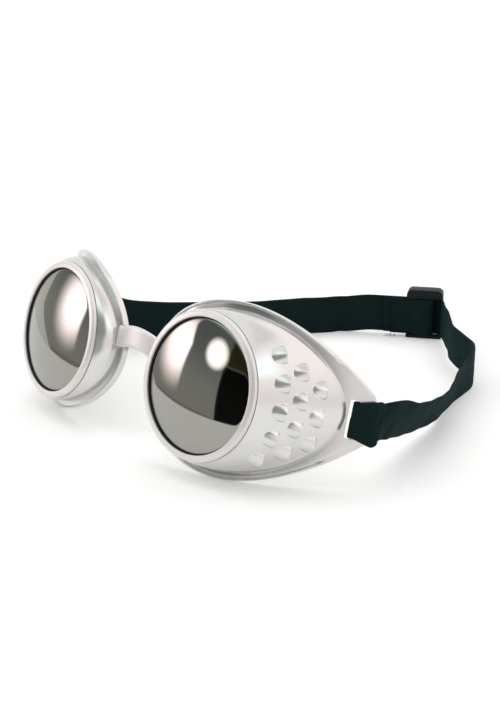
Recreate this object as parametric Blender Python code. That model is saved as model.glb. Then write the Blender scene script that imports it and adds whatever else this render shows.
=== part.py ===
"""Costume goggles: two vented cups with mirrored lenses, a bridge and an elastic strap with a slider.

Units are metres and +Z is up. The goggles stand on a table as they do when put down: the cups lean back
on the lower edges of their flanges, and the strap stands on edge behind them, in a loop. -Y is the front,
and +X is the side of the near cup, whose strap loop is sewn.

Each cup is drawn in a frame of its own. Its x runs from the lens centre to the temple, its y runs back from
the plane of the ring's front, and its z runs up along the lens. A mirrored x gives the other cup.
"""

import math

import bmesh
import bpy
import numpy as np
from mathutils import Matrix, Vector

# Clearances between pieces, and one overrun for every cut
GAP = 0.0003
CUT_OVERRUN = 0.004

# Lens ring, from the opening that it leaves for the lens
APERTURE_RADIUS = 0.0225
RING_BAND = 0.0023
RING_RADIUS = APERTURE_RADIUS + RING_BAND
RING_LIP_ROUND = 0.0009
RING_INNER_CHAMFER = 0.0002
RING_FLAT_SHARE = 0.12
RING_DEPTH = 0.0016
RING_SKIRT_STEP = 0.0008
RING_SKIRT_RADIUS = RING_RADIUS - RING_SKIRT_STEP
RING_SKIRT_WALL = 0.0010
RING_SKIRT_DEPTH = 0.0028

# Lens and gasket
LENS_THICKNESS = 0.0018
LENS_DOME = 0.0030
GASKET_OVERLAP = 0.0004
GASKET_INNER_RADIUS = APERTURE_RADIUS - GASKET_OVERLAP
GASKET_DEPTH = 0.0009

# Cup wall
CUP_WALL = 0.0018
BODY_FRONT_STEP = 0.0001
BODY_FRONT_RADIUS = RING_RADIUS + BODY_FRONT_STEP
SHELF_OVERLAP = 0.0011
SHELF_RADIUS = APERTURE_RADIUS - SHELF_OVERLAP
SHELF_THICKNESS = 0.0015
WALL_BULGE = 0.0011

# Outline of the body's rear edge, past its front on each side, and how far it stands before the flange's lip
BODY_CENTRE_X = 0.0060
BODY_NOSE_REACH = 0.0033
BODY_TEMPLE_REACH = 0.0144
BODY_HEIGHT_REACH = 0.0014
BODY_NOSE_LENGTH = BODY_FRONT_RADIUS + BODY_NOSE_REACH + BODY_CENTRE_X
BODY_TEMPLE_LENGTH = BODY_FRONT_RADIUS + BODY_TEMPLE_REACH - BODY_CENTRE_X
BODY_HALF_HEIGHT = BODY_FRONT_RADIUS + BODY_HEIGHT_REACH
BODY_STEP = 0.0020
BODY_STEP_AT_TAB = 0.0006

# Outline of the flange, past the body's on each side, which ends in the blunt strap tab
FLANGE_CENTRE_X = BODY_CENTRE_X
FLANGE_NOSE_REACH = 0.0029
FLANGE_TEMPLE_REACH = 0.0109
FLANGE_HEIGHT_REACH = 0.0029
FLANGE_NOSE_LENGTH = BODY_NOSE_LENGTH + FLANGE_NOSE_REACH
FLANGE_TEMPLE_LENGTH = BODY_TEMPLE_LENGTH + FLANGE_TEMPLE_REACH
FLANGE_HALF_HEIGHT = BODY_HALF_HEIGHT + FLANGE_HEIGHT_REACH
TAB_REACH = 0.0066
TAB_TIP_X = BODY_CENTRE_X + BODY_TEMPLE_LENGTH + TAB_REACH
TAB_CORNER = 0.0020
FLANGE_DEPTH = 0.0077
FLANGE_SLOPE = 0.188
FLANGE_CURVE_RADIUS = 0.0617
FLANGE_THICKNESS = 0.0015
LIP_HEIGHT = 0.0009
LIP_WIDTH = 0.0008
LIP_FADE_LENGTH = 0.0060

# Placing of the two cups
NOSE_SPAN = 0.0181
LENS_SPACING = NOSE_SPAN + 2.0 * (FLANGE_NOSE_LENGTH - FLANGE_CENTRE_X)
CUP_SPLAY = math.radians(5.8)
CUP_LEAN = math.radians(15.6)

# Slot in each tab
SLOT_WIDTH = 0.0031
SLOT_HEIGHT = 0.0146
BAR_WIDTH = 0.0050

# Louvres on the temple side of each cup
LOUVRE_LENGTH = 0.0046
LOUVRE_WIDTH = 0.0060
LOUVRE_HEIGHT = 0.0014

# Bridge
BRIDGE_HEIGHT = 0.0075
BRIDGE_THICKNESS = 0.0016
BRIDGE_RISE = 0.0020
BRIDGE_FORWARD = 0.0009
BRIDGE_SEAT_HEIGHT = 0.0058
BRIDGE_LAP = 0.0021
PEG_RADIUS = 0.0006
PEG_HEAD_RADIUS = 0.0011
PEG_HEAD_HEIGHT = 0.0006

# Strap
STRAP_WIDTH = 0.0154
SLOT_STRAP_WIDTH = 0.0140
STRAP_THICKNESS = 0.0010
LOOP_SLACK = 0.0005
LOOP_CORNER_RADIUS = 0.0020
NEAR_LOOP_BEND = math.radians(53.0)
FAR_LOOP_BEND = math.radians(30.0)
NEAR_LEG_LEAN = math.radians(20.0)
FAR_LEG_LEAN = 0.0
CUT_END_REACH = 0.0022
LEG_REACH = 0.0100
LEG_LEAD = 0.0040
LOOP_DEPTH = 0.1717
THREAD = 0.0003
THREAD_GAP = 0.00015
STITCH_WIDTH = 0.0013
STITCH_COUNT = 14

# Corner at the back of the loop, and the straight stretch of strap from it toward the far side
CORNER_X = -0.0072
CORNER_RADIUS = 0.0040
FAR_HEADING = math.radians(217.0)
NEAR_HEADING = math.radians(-42.0)
STRAIGHT_LENGTH = 0.0430
NEAR_RUN_START = 0.0070

# Slider
SLIDER_FROM_CORNER = 0.0070
SLIDER_WIDTH = 0.0150
SLIDER_CENTRE_BAR = 0.0038
SLIDER_BAR_DEPTH = 0.0016
SLIDER_SIDE_BAR = 0.0017
SLIDER_TOP_BAR = 0.0037
SLIDER_BOTTOM_BAR = 0.0012
SLIDER_CORNER = 0.0022
TAIL_CUT_REACH = 0.0143
TAIL_REACH = 0.0175

COLOURS = {
    "pearl_silver": ((0.80, 0.78, 0.76, 1.0), 0.32, 0.75),
    "mirror_lens": ((0.34, 0.31, 0.30, 1.0), 0.06, 1.0),
    "black_rubber": ((0.012, 0.012, 0.012, 1.0), 0.65, 0.0),
    "black_webbing": ((0.010, 0.014, 0.014, 1.0), 0.85, 0.0),
    "black_thread": ((0.030, 0.036, 0.036, 1.0), 0.75, 0.0),
    "black_plastic": ((0.014, 0.015, 0.016, 1.0), 0.42, 0.0),
}


def clear_scene():
    for old in list(bpy.data.objects):
        bpy.data.objects.remove(old, do_unlink=True)


def make_material(name, look):
    colour, roughness, metallic = COLOURS[look]
    material = bpy.data.materials.new(name)
    material.use_nodes = True
    shader = material.node_tree.nodes["Principled BSDF"]
    shader.inputs["Base Color"].default_value = colour
    shader.inputs["Roughness"].default_value = roughness
    shader.inputs["Metallic"].default_value = metallic
    material.diffuse_color = colour
    return material


def add_empty(name, parent=None, matrix=None):
    empty = bpy.data.objects.new(name, None)
    bpy.context.collection.objects.link(empty)
    empty.parent = parent
    if matrix is not None:
        empty.matrix_basis = matrix
    return empty


def add_mesh(name, verts, faces, parent, look=None, sharp_degrees=35.0):
    mesh = bpy.data.meshes.new(name)
    mesh.from_pydata([tuple(v) for v in verts], [], faces)
    shape = bmesh.new()
    shape.from_mesh(mesh)
    bmesh.ops.recalc_face_normals(shape, faces=shape.faces)
    shape.to_mesh(mesh)
    shape.free()
    mesh.shade_smooth()
    mesh.set_sharp_from_angle(angle=math.radians(sharp_degrees))
    part = bpy.data.objects.new(name, mesh)
    bpy.context.collection.objects.link(part)
    part.parent = parent
    if look is None:
        part.hide_render = True
        part.display_type = "WIRE"
    else:
        mesh.materials.append(make_material(name, look))
    return part


def add_boolean(part, cutter, operation):
    modifier = part.modifiers.new(cutter.name, "BOOLEAN")
    modifier.operation = operation
    modifier.solver = "EXACT"
    modifier.object = cutter


def bridge_loops(count, loops, close):
    """Quads between neighbouring loops of count points each; close joins the last loop to the first."""
    faces = []
    last = loops if close else loops - 1
    for k in range(last):
        a = k * count
        b = ((k + 1) % loops) * count
        for i in range(count):
            j = (i + 1) % count
            faces.append((a + i, a + j, b + j, b + i))
    return faces


# Outlines of the body and the flange, as points in the cup's x and z

OUTLINE_STEPS = 12
FLANGE_TEMPLE_POWER = 1.88
FLANGE_TEMPLE_ROUNDNESS = 1.23
BODY_TEMPLE_POWER = 2.0
BODY_TEMPLE_ROUNDNESS = 1.8


def half_outline(centre_x, nose, temple, height, power, roundness, tip_x):
    """Points of the upper half, from the temple's end to the nose."""
    points = []
    reach = tip_x - centre_x
    for i in range(OUTLINE_STEPS):
        u = reach * math.sin(0.5 * math.pi * (1.0 - i / OUTLINE_STEPS))
        z = height * max(0.0, 1.0 - (u / temple) ** power) ** (1.0 / roundness)
        points.append((centre_x + u, z))
    for i in range(OUTLINE_STEPS + 1):
        angle = 0.5 * math.pi * (1.0 + i / OUTLINE_STEPS)
        points.append((centre_x + nose * math.cos(angle), height * math.sin(angle)))
    return points


def flange_half():
    points = half_outline(
        FLANGE_CENTRE_X, FLANGE_NOSE_LENGTH, FLANGE_TEMPLE_LENGTH, FLANGE_HALF_HEIGHT,
        FLANGE_TEMPLE_POWER, FLANGE_TEMPLE_ROUNDNESS, TAB_TIP_X,
    )
    tip_z = points[0][1]
    rest = [p for p in points if math.hypot(p[0] - TAB_TIP_X, p[1] - tip_z) > TAB_CORNER]
    return [(TAB_TIP_X, 0.0), (TAB_TIP_X, tip_z - TAB_CORNER)] + rest


def close_outline(half):
    """The upper half and its mirror image, as one closed loop of points."""
    lower = [(x, -z) for x, z in half[1:-1]]
    return np.array(half + lower[::-1])


FLANGE = close_outline(flange_half())
POLAR = np.arctan2(FLANGE[:, 1], FLANGE[:, 0])
COUNT = len(FLANGE)


def polar_outline(half):
    """An outline's points at the same polar angles as the flange's points."""
    fine = np.array(half)
    angles = np.arctan2(fine[:, 1], fine[:, 0])
    radii = np.hypot(fine[:, 0], fine[:, 1])
    radius = np.interp(np.abs(POLAR), angles, radii)
    return np.stack([radius * np.cos(POLAR), radius * np.sin(POLAR)], axis=1)


BODY = polar_outline(
    half_outline(
        BODY_CENTRE_X, BODY_NOSE_LENGTH, BODY_TEMPLE_LENGTH, BODY_HALF_HEIGHT,
        BODY_TEMPLE_POWER, BODY_TEMPLE_ROUNDNESS, BODY_CENTRE_X + BODY_TEMPLE_LENGTH,
    )
)


def flange_depth(x):
    """Depth of the flange's lip behind the ring's front; it sweeps back toward the temple."""
    return FLANGE_DEPTH + FLANGE_SLOPE * x + x * x / (2.0 * FLANGE_CURVE_RADIUS)


def fade(x, start, length):
    share = np.clip((x - start) / length, 0.0, 1.0)
    return share * share * (3.0 - 2.0 * share)


def circle_points(radius):
    return np.stack([radius * np.cos(POLAR), radius * np.sin(POLAR)], axis=1)


def inset(outline, amount):
    """An outline drawn in by an even amount along its own normals."""
    ahead = np.roll(outline, -1, axis=0)
    behind = np.roll(outline, 1, axis=0)
    tangent = ahead - behind
    tangent /= np.linalg.norm(tangent, axis=1)[:, None]
    normal = np.stack([-tangent[:, 1], tangent[:, 0]], axis=1)
    return outline + amount * normal


def loop_3d(outline, depth):
    depth = np.broadcast_to(depth, len(outline))
    return np.stack([outline[:, 0], depth, outline[:, 1]], axis=1)


RING_BACK = RING_DEPTH
BODY_FRONT = RING_BACK + GAP
LENS_FRONT = RING_SKIRT_DEPTH + GAP
SHELF_FRONT = LENS_FRONT + LENS_THICKNESS + GAP
LENS_RADIUS = RING_SKIRT_RADIUS
BORE_RADIUS = RING_SKIRT_RADIUS + GAP
TAB_START_X = TAB_TIP_X - BAR_WIDTH - SLOT_WIDTH
FULL_LIP_X = TAB_START_X - LIP_FADE_LENGTH


def body_edge_depth(x):
    share = fade(x, 0.0, BODY_CENTRE_X + BODY_TEMPLE_LENGTH)
    step = BODY_STEP + (BODY_STEP_AT_TAB - BODY_STEP) * share
    return flange_depth(x) - step


def wall_point(angle, share):
    """A point on the outside of the cup's wall; the share runs from the ring to the body's edge."""
    radius = np.interp(abs(angle), BODY_ANGLES, BODY_RADII)
    edge = np.array([radius * math.cos(angle), 0.0, radius * math.sin(angle)])
    edge[1] = body_edge_depth(edge[0])
    front = BODY_FRONT_RADIUS
    start = np.array([front * math.cos(angle), BODY_FRONT, front * math.sin(angle)])
    bulge = WALL_BULGE * math.sin(math.pi * share)
    lift = np.array([bulge * math.cos(angle), -bulge, bulge * math.sin(angle)]) / math.sqrt(2.0)
    return start + share * (edge - start) + lift


BODY_HALF_COUNT = COUNT // 2 + 1
BODY_ANGLES = np.abs(POLAR[:BODY_HALF_COUNT])
BODY_RADII = np.hypot(BODY[:BODY_HALF_COUNT, 0], BODY[:BODY_HALF_COUNT, 1])

WALL_ROWS = 4


def cup_loops():
    loops = []
    shelf_back = SHELF_FRONT + SHELF_THICKNESS
    loops.append(loop_3d(circle_points(SHELF_RADIUS), SHELF_FRONT))
    loops.append(loop_3d(circle_points(BORE_RADIUS), SHELF_FRONT))
    loops.append(loop_3d(circle_points(BORE_RADIUS), BODY_FRONT))
    for row in range(WALL_ROWS + 1):
        share = row / WALL_ROWS
        loops.append(np.array([wall_point(angle, share) for angle in POLAR]))
    # Gutter between the body's edge and the raised lip, which fades out before the tab
    full_lip = 1.0 - fade(FLANGE[:, 0], FULL_LIP_X, LIP_FADE_LENGTH)
    gutter = LIP_HEIGHT
    foot = inset(BODY, -GAP)
    loops.append(loop_3d(foot, flange_depth(foot[:, 0]) + gutter))
    shoulder = inset(FLANGE, 2.0 * LIP_WIDTH)
    loops.append(loop_3d(shoulder, flange_depth(shoulder[:, 0]) + gutter))
    crest = inset(FLANGE, LIP_WIDTH)
    loops.append(loop_3d(crest, flange_depth(crest[:, 0]) + gutter - LIP_HEIGHT * full_lip))
    loops.append(loop_3d(FLANGE, flange_depth(FLANGE[:, 0]) + gutter - LIP_HEIGHT * full_lip))
    loops.append(loop_3d(FLANGE, flange_depth(FLANGE[:, 0]) + gutter + FLANGE_THICKNESS))
    rear = inset(BODY, CUP_WALL)
    loops.append(loop_3d(rear, flange_depth(rear[:, 0]) + gutter + FLANGE_THICKNESS))
    # Inside of the wall, and the back of the shelf that the lens seats on
    inner_front = circle_points(BODY_FRONT_RADIUS - CUP_WALL)
    middle = 0.5 * (rear + inner_front)
    middle_depth = 0.5 * (flange_depth(rear[:, 0]) + shelf_back)
    loops.append(loop_3d(middle, middle_depth))
    loops.append(loop_3d(inner_front, shelf_back))
    loops.append(loop_3d(circle_points(SHELF_RADIUS), shelf_back))
    return loops


def mirrored(points, side):
    points = np.array(points, dtype=float)
    points[:, 0] *= side
    return points


# Louvres: five, four and three in staggered arcs round the ring

LOUVRE_ARC_SHARES = (0.271, 0.486, 0.701)
LOUVRE_ARC_COUNTS = (5, 4, 3)
LOUVRE_PITCH = 0.0090
LOUVRE_ARC_MIDDLE = math.radians(-3.0)
LOUVRE_RIBS = 5
LOUVRE_RINGS = 3
NUDGE_SHARE = 0.01


def louvre_frames():
    """Centre and axes of each louvre: along the wall toward the temple, round the ring, and outward."""
    frames = []
    step = NUDGE_SHARE
    for arc_share, count in zip(LOUVRE_ARC_SHARES, LOUVRE_ARC_COUNTS):
        radius = BODY_FRONT_RADIUS + arc_share * BODY_TEMPLE_REACH
        for i in range(count):
            angle = LOUVRE_ARC_MIDDLE + (0.5 * (count - 1) - i) * LOUVRE_PITCH / radius
            edge_radius = np.interp(abs(angle), BODY_ANGLES, BODY_RADII)
            share = (radius - BODY_FRONT_RADIUS) / (edge_radius - BODY_FRONT_RADIUS)
            centre = wall_point(angle, share)
            along = wall_point(angle, share + step) - wall_point(angle, share - step)
            along /= np.linalg.norm(along)
            around = wall_point(angle + step, share) - wall_point(angle - step, share)
            outward = np.cross(around, along)
            outward /= np.linalg.norm(outward)
            if outward[1] > 0.0:
                outward = -outward
            around = np.cross(outward, along)
            frames.append((centre, along, around, outward))
    return frames


def louvre_mesh():
    """Half-round hoods: blunt toward the ring, cut square toward the temple."""
    verts = []
    faces = []
    for centre, along, around, outward in louvre_frames():
        first = len(verts)
        for ring in range(LOUVRE_RINGS):
            turn = 0.5 * math.pi * ring / LOUVRE_RINGS
            for rib in range(2 * LOUVRE_RIBS):
                spin = math.pi * rib / LOUVRE_RIBS
                a = -LOUVRE_LENGTH * math.sin(turn)
                r = math.cos(turn)
                b = 0.5 * LOUVRE_WIDTH * r * math.cos(spin)
                c = LOUVRE_HEIGHT * r * math.sin(spin)
                offset = 0.5 * LOUVRE_LENGTH
                verts.append(centre + (a + offset) * along + b * around + c * outward)
        tip = len(verts)
        verts.append(centre - 0.5 * LOUVRE_LENGTH * along)
        ribs = 2 * LOUVRE_RIBS
        for face in bridge_loops(ribs, LOUVRE_RINGS, False):
            faces.append(tuple(first + i for i in face))
        last = first + (LOUVRE_RINGS - 1) * ribs
        for rib in range(ribs):
            faces.append((last + rib, last + (rib + 1) % ribs, tip))
        faces.append(tuple(first + i for i in range(ribs)))
    return verts, faces


# Strap tab: a frame at the middle of the bar outside the slot

def tab_slope():
    x = TAB_TIP_X - 0.5 * BAR_WIDTH
    return math.atan(FLANGE_SLOPE + x / FLANGE_CURVE_RADIUS)


def bar_centre():
    """Middle of the bar in the cup's frame, half way through the flange."""
    slope = tab_slope()
    tip = np.array([TAB_TIP_X, flange_depth(TAB_TIP_X) + LIP_HEIGHT + 0.5 * FLANGE_THICKNESS])
    along = np.array([math.cos(slope), math.sin(slope)])
    return tip - 0.5 * BAR_WIDTH * along


def tab_point(t, n, z=0.0):
    """A point in the cup's frame: t toward the tab's tip and n outward from the bar's middle, z along it."""
    slope = tab_slope()
    centre = bar_centre()
    x = centre[0] + t * math.cos(slope) + n * math.sin(slope)
    y = centre[1] + t * math.sin(slope) - n * math.cos(slope)
    return np.array([x, y, z])


def slot_cutter(side, parent, name):
    depth = FLANGE_THICKNESS + LIP_HEIGHT + CUT_OVERRUN
    inner = -0.5 * BAR_WIDTH - SLOT_WIDTH
    outer = -0.5 * BAR_WIDTH
    corners = [(inner, -0.5 * depth), (outer, -0.5 * depth), (outer, 0.5 * depth), (inner, 0.5 * depth)]
    verts = []
    for z in (-0.5 * SLOT_HEIGHT, 0.5 * SLOT_HEIGHT):
        for t, n in corners:
            verts.append(tab_point(t, n, z))
    faces = [(0, 1, 2, 3), (4, 5, 6, 7)] + bridge_loops(4, 2, False)
    return add_mesh(name, mirrored(verts, side), faces, parent)


def cup_shell(name, side, parent):
    loops = cup_loops()
    verts = mirrored(np.concatenate(loops), side)
    faces = bridge_loops(COUNT, len(loops), True)
    shell = add_mesh(name, verts, faces, parent, "pearl_silver")
    hood_verts, hood_faces = louvre_mesh()
    hoods = add_mesh(name + "_louvres", mirrored(hood_verts, side), hood_faces, parent)
    add_boolean(shell, hoods, "UNION")
    add_boolean(shell, slot_cutter(side, parent, name + "_slot"), "DIFFERENCE")
    add_boolean(shell, bridge_notch(name + "_notch", side, parent), "DIFFERENCE")
    add_boolean(shell, peg_hole(name + "_peg_hole", side, parent), "DIFFERENCE")
    return shell


# Turned pieces about the lens axis

TURN_STEPS = 48


def turned(name, profile, parent, look):
    """A closed profile of radius and depth, turned about the lens axis."""
    verts = []
    for step in range(TURN_STEPS):
        angle = 2.0 * math.pi * step / TURN_STEPS
        for radius, depth in profile:
            verts.append((radius * math.cos(angle), depth, radius * math.sin(angle)))
    faces = bridge_loops(len(profile), TURN_STEPS, True)
    return add_mesh(name, verts, faces, parent, look)


RING_ROUND_STEPS = 3


def ring_profile():
    """Front band that slopes back to a rounded outer edge, and the skirt that fits in the cup's bore."""
    band = RING_RADIUS - APERTURE_RADIUS
    flat = RING_FLAT_SHARE * band
    points = [(APERTURE_RADIUS, RING_DEPTH), (APERTURE_RADIUS, RING_INNER_CHAMFER)]
    for step in range(RING_ROUND_STEPS + 1):
        angle = 0.5 * math.pi * step / RING_ROUND_STEPS
        radius = APERTURE_RADIUS + flat + (band - flat) * math.sin(angle)
        points.append((radius, RING_LIP_ROUND * (1.0 - math.cos(angle))))
    inner = RING_SKIRT_RADIUS - RING_SKIRT_WALL
    points += [
        (RING_RADIUS, RING_DEPTH),
        (RING_SKIRT_RADIUS, RING_DEPTH),
        (RING_SKIRT_RADIUS, RING_SKIRT_DEPTH),
        (inner, RING_SKIRT_DEPTH),
        (inner, RING_DEPTH),
    ]
    return points


def gasket_profile():
    outer = RING_SKIRT_RADIUS - RING_SKIRT_WALL - GAP
    front = RING_DEPTH + GAP
    back = front + GASKET_DEPTH
    return [(GASKET_INNER_RADIUS, front), (outer, front), (outer, back), (GASKET_INNER_RADIUS, back)]


LENS_RINGS = 3


def lens(name, parent):
    """A domed disc of even thickness, with a flat rim between the ring's skirt and the cup's shelf."""
    verts = []
    faces = []
    rim = SHELF_RADIUS - GAP
    radii = [rim * ring / LENS_RINGS for ring in range(LENS_RINGS, 0, -1)]
    levels = [(LENS_RADIUS, LENS_FRONT)] + [(r, lens_front(r)) for r in radii]
    for radius, depth in levels:
        verts += ring_of(radius, depth)
    front_pole = len(verts)
    verts.append((0.0, lens_front(0.0), 0.0))
    back_first = len(verts)
    for radius, depth in levels:
        verts += ring_of(radius, depth + LENS_THICKNESS)
    back_pole = len(verts)
    verts.append((0.0, lens_front(0.0) + LENS_THICKNESS, 0.0))
    count = len(levels)
    for face in bridge_loops(TURN_STEPS, count, False):
        faces.append(face)
        faces.append(tuple(back_first + i for i in reversed(face)))
    for first, pole in ((0, front_pole), (back_first, back_pole)):
        last = first + (count - 1) * TURN_STEPS
        for step in range(TURN_STEPS):
            faces.append((last + step, last + (step + 1) % TURN_STEPS, pole))
    for step in range(TURN_STEPS):
        ahead = (step + 1) % TURN_STEPS
        faces.append((step, ahead, back_first + ahead, back_first + step))
    return add_mesh(name, verts, faces, parent, "mirror_lens")


def lens_front(radius):
    rim = SHELF_RADIUS - GAP
    return LENS_FRONT - LENS_DOME * (1.0 - min(1.0, radius / rim) ** 2)


def ring_of(radius, depth):
    points = []
    for step in range(TURN_STEPS):
        angle = 2.0 * math.pi * step / TURN_STEPS
        points.append((radius * math.cos(angle), depth, radius * math.sin(angle)))
    return points


# Bridge between the nose sides of the two flanges

BRIDGE_STEPS = 6
PEG_STEPS = 12


def cup_matrix(side):
    move = Matrix.Translation(Vector((side * 0.5 * LENS_SPACING, 0.0, 0.0)))
    splay = Matrix.Rotation(side * CUP_SPLAY, 4, "Z")
    lean = Matrix.Rotation(-CUP_LEAN, 4, "X")
    return move @ splay @ lean


def cup_world(point, side):
    """From the cup's frame, before mirroring, to the frame of the lens midpoint."""
    x, y, z = point
    return np.array(cup_matrix(side) @ Vector((side * x, y, z)))


def nose_edge_x(height):
    """The flange's nose edge in the cup's frame, at a height on the lens."""
    drop = math.sqrt(1.0 - (height / FLANGE_HALF_HEIGHT) ** 2)
    return FLANGE_CENTRE_X - FLANGE_NOSE_LENGTH * drop


def seat_point(inward, forward):
    """A point before the gutter's floor at the nose, inward from the flange's edge, in the +X cup's frame."""
    x = nose_edge_x(BRIDGE_SEAT_HEIGHT) + inward
    return np.array([x, flange_depth(x) + LIP_HEIGHT - forward, BRIDGE_SEAT_HEIGHT])


def bridge_path():
    """Middle line of the strip from the far seat to the near one."""
    clear = 0.5 * BRIDGE_THICKNESS + GAP
    landing = [cup_world(seat_point(share * BRIDGE_LAP, clear), 1) for share in (0.0, 0.5, 1.0)]
    edge = landing[0]
    arch = []
    for step in range(1 - BRIDGE_STEPS, BRIDGE_STEPS):
        share = step / BRIDGE_STEPS
        rise = 1.0 - share * share
        arch.append(edge * np.array([share, 1.0, 1.0]) + rise * np.array([0.0, -BRIDGE_FORWARD, BRIDGE_RISE]))
    far = [point * np.array([-1.0, 1.0, 1.0]) for point in reversed(landing)]
    return far + arch + landing


def peg(name, start, length, radius, side, parent):
    """A round peg that points straight back in the cup's frame, from start."""
    verts = []
    for depth in (0.0, length):
        for step in range(PEG_STEPS):
            angle = 2.0 * math.pi * step / PEG_STEPS
            offset = np.array([radius * math.cos(angle), depth, radius * math.sin(angle)])
            verts.append(start + offset)
    faces = bridge_loops(PEG_STEPS, 2, False)
    faces += [tuple(range(PEG_STEPS)), tuple(range(PEG_STEPS, 2 * PEG_STEPS))]
    return add_mesh(name, mirrored(verts, side), faces, parent)


def bridge(parent, frames):
    path = bridge_path()
    up = (0.0, math.sin(CUP_LEAN), math.cos(CUP_LEAN))
    ups = [up] * len(path)
    strip = ribbon("nose_bridge", path, ups, parent, "pearl_silver", BRIDGE_HEIGHT, BRIDGE_THICKNESS)
    middle = 0.5 * BRIDGE_LAP
    back = FLANGE_THICKNESS + GAP
    for side, word in ((1, "near"), (-1, "far")):
        root = seat_point(middle, 0.5 * BRIDGE_THICKNESS + GAP)
        head = seat_point(middle, -back)
        length = head[1] - root[1] + 0.5 * PEG_HEAD_HEIGHT
        shank = peg(word + "_peg_shank", root, length, PEG_RADIUS, side, frames[side])
        cap = peg(word + "_peg_head", head, PEG_HEAD_HEIGHT, PEG_HEAD_RADIUS, side, frames[side])
        add_boolean(strip, shank, "UNION")
        add_boolean(strip, cap, "UNION")
    return strip


def bridge_notch(name, side, parent):
    """The gap in the flange's lip that lets the bridge down to the gutter's floor."""
    edge = nose_edge_x(BRIDGE_SEAT_HEIGHT)
    x0 = edge - CUT_OVERRUN
    x1 = edge + BRIDGE_LAP + GAP
    floor0 = flange_depth(edge) + LIP_HEIGHT - (edge - x0) * seat_slope()
    floor1 = flange_depth(edge) + LIP_HEIGHT + (x1 - edge) * seat_slope()
    half = 0.5 * BRIDGE_HEIGHT + GAP
    verts = []
    for z in (BRIDGE_SEAT_HEIGHT - half, BRIDGE_SEAT_HEIGHT + half):
        verts += [(x0, floor0 - CUT_OVERRUN, z), (x1, floor1 - CUT_OVERRUN, z)]
        verts += [(x1, floor1, z), (x0, floor0, z)]
    faces = [(0, 1, 2, 3), (4, 5, 6, 7)] + bridge_loops(4, 2, False)
    return add_mesh(name, mirrored(verts, side), faces, parent)


def seat_slope():
    """Slope of the gutter's floor under the bridge, as depth over x."""
    return FLANGE_SLOPE + (nose_edge_x(BRIDGE_SEAT_HEIGHT) + 0.5 * BRIDGE_LAP) / FLANGE_CURVE_RADIUS


def peg_hole(name, side, parent):
    start = seat_point(0.5 * BRIDGE_LAP, CUT_OVERRUN)
    length = FLANGE_THICKNESS + 2.0 * CUT_OVERRUN
    return peg(name, start, length, PEG_RADIUS + GAP, side, parent)


# Strap

def smooth_curve(knots):
    """A smooth curve through rows whose first three numbers are a place, in even steps along its length."""
    knots = np.array(knots, dtype=float)
    length = np.linalg.norm(np.diff(knots[:, :3], axis=0), axis=1)
    slope = np.diff(knots, axis=0) / length[:, None]
    tangent = np.empty_like(knots)
    tangent[0] = slope[0]
    tangent[-1] = slope[-1]
    before = length[:-1, None]
    after = length[1:, None]
    tangent[1:-1] = (slope[:-1] * after + slope[1:] * before) / (before + after)
    curve = []
    for i, span in enumerate(length):
        steps = math.ceil(span / ROUTE_STEP)
        for step in range(steps):
            u = step / steps
            rise = u * u * (3.0 - 2.0 * u)
            start = u * (1.0 - u) ** 2 * span * tangent[i]
            end = -u * u * (1.0 - u) * span * tangent[i + 1]
            curve.append(knots[i] + rise * (knots[i + 1] - knots[i]) + start + end)
    curve.append(knots[-1])
    return np.array(curve)


def ribbon(name, path, ups, parent, look, width, thickness):
    """A flat band along a path; ups say which way its width stands at each point."""
    path = np.array(path)
    widths = np.broadcast_to(width, len(path))
    ahead = np.roll(path, -1, axis=0)
    behind = np.roll(path, 1, axis=0)
    ahead[-1] = path[-1]
    behind[0] = path[0]
    verts = []
    for point, before, after, up, wide in zip(path, behind, ahead, ups, widths):
        tangent = after - before
        tangent /= np.linalg.norm(tangent)
        normal = np.cross(tangent, up)
        normal /= np.linalg.norm(normal)
        high = np.cross(normal, tangent)
        for a, b in ((-0.5, -0.5), (0.5, -0.5), (0.5, 0.5), (-0.5, 0.5)):
            verts.append(point + a * wide * high + b * thickness * normal)
    last = 4 * (len(path) - 1)
    faces = bridge_loops(4, len(path), False)
    faces += [(0, 1, 2, 3), (last, last + 1, last + 2, last + 3)]
    return add_mesh(name, verts, faces, parent, look)


HALF_THICK = 0.5 * STRAP_THICKNESS
WRAP_RADIUS = 0.5 * FLANGE_THICKNESS + LOOP_SLACK + HALF_THICK
LAYER_PITCH = STRAP_THICKNESS + GAP
WRAP_STEPS = 10
CORNER_STEPS = 5
BAR_EDGE = 0.5 * BAR_WIDTH


def arc(centre, radius, start, end, steps):
    points = []
    for step in range(steps + 1):
        angle = start + (end - start) * step / steps
        points.append((centre[0] + radius * math.cos(angle), centre[1] + radius * math.sin(angle)))
    return points


def leg_point(bend, reach, layer):
    """A point on a leg of the strap outside the bar, in t and n; layer 0 is the outer leg and 1 the inner."""
    outward = (math.sin(bend), math.cos(bend))
    t = BAR_EDGE + (WRAP_RADIUS - layer * LAYER_PITCH) * outward[0] + reach * outward[1]
    n = (WRAP_RADIUS - layer * LAYER_PITCH) * outward[1] - reach * outward[0]
    return (t, n)


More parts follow.
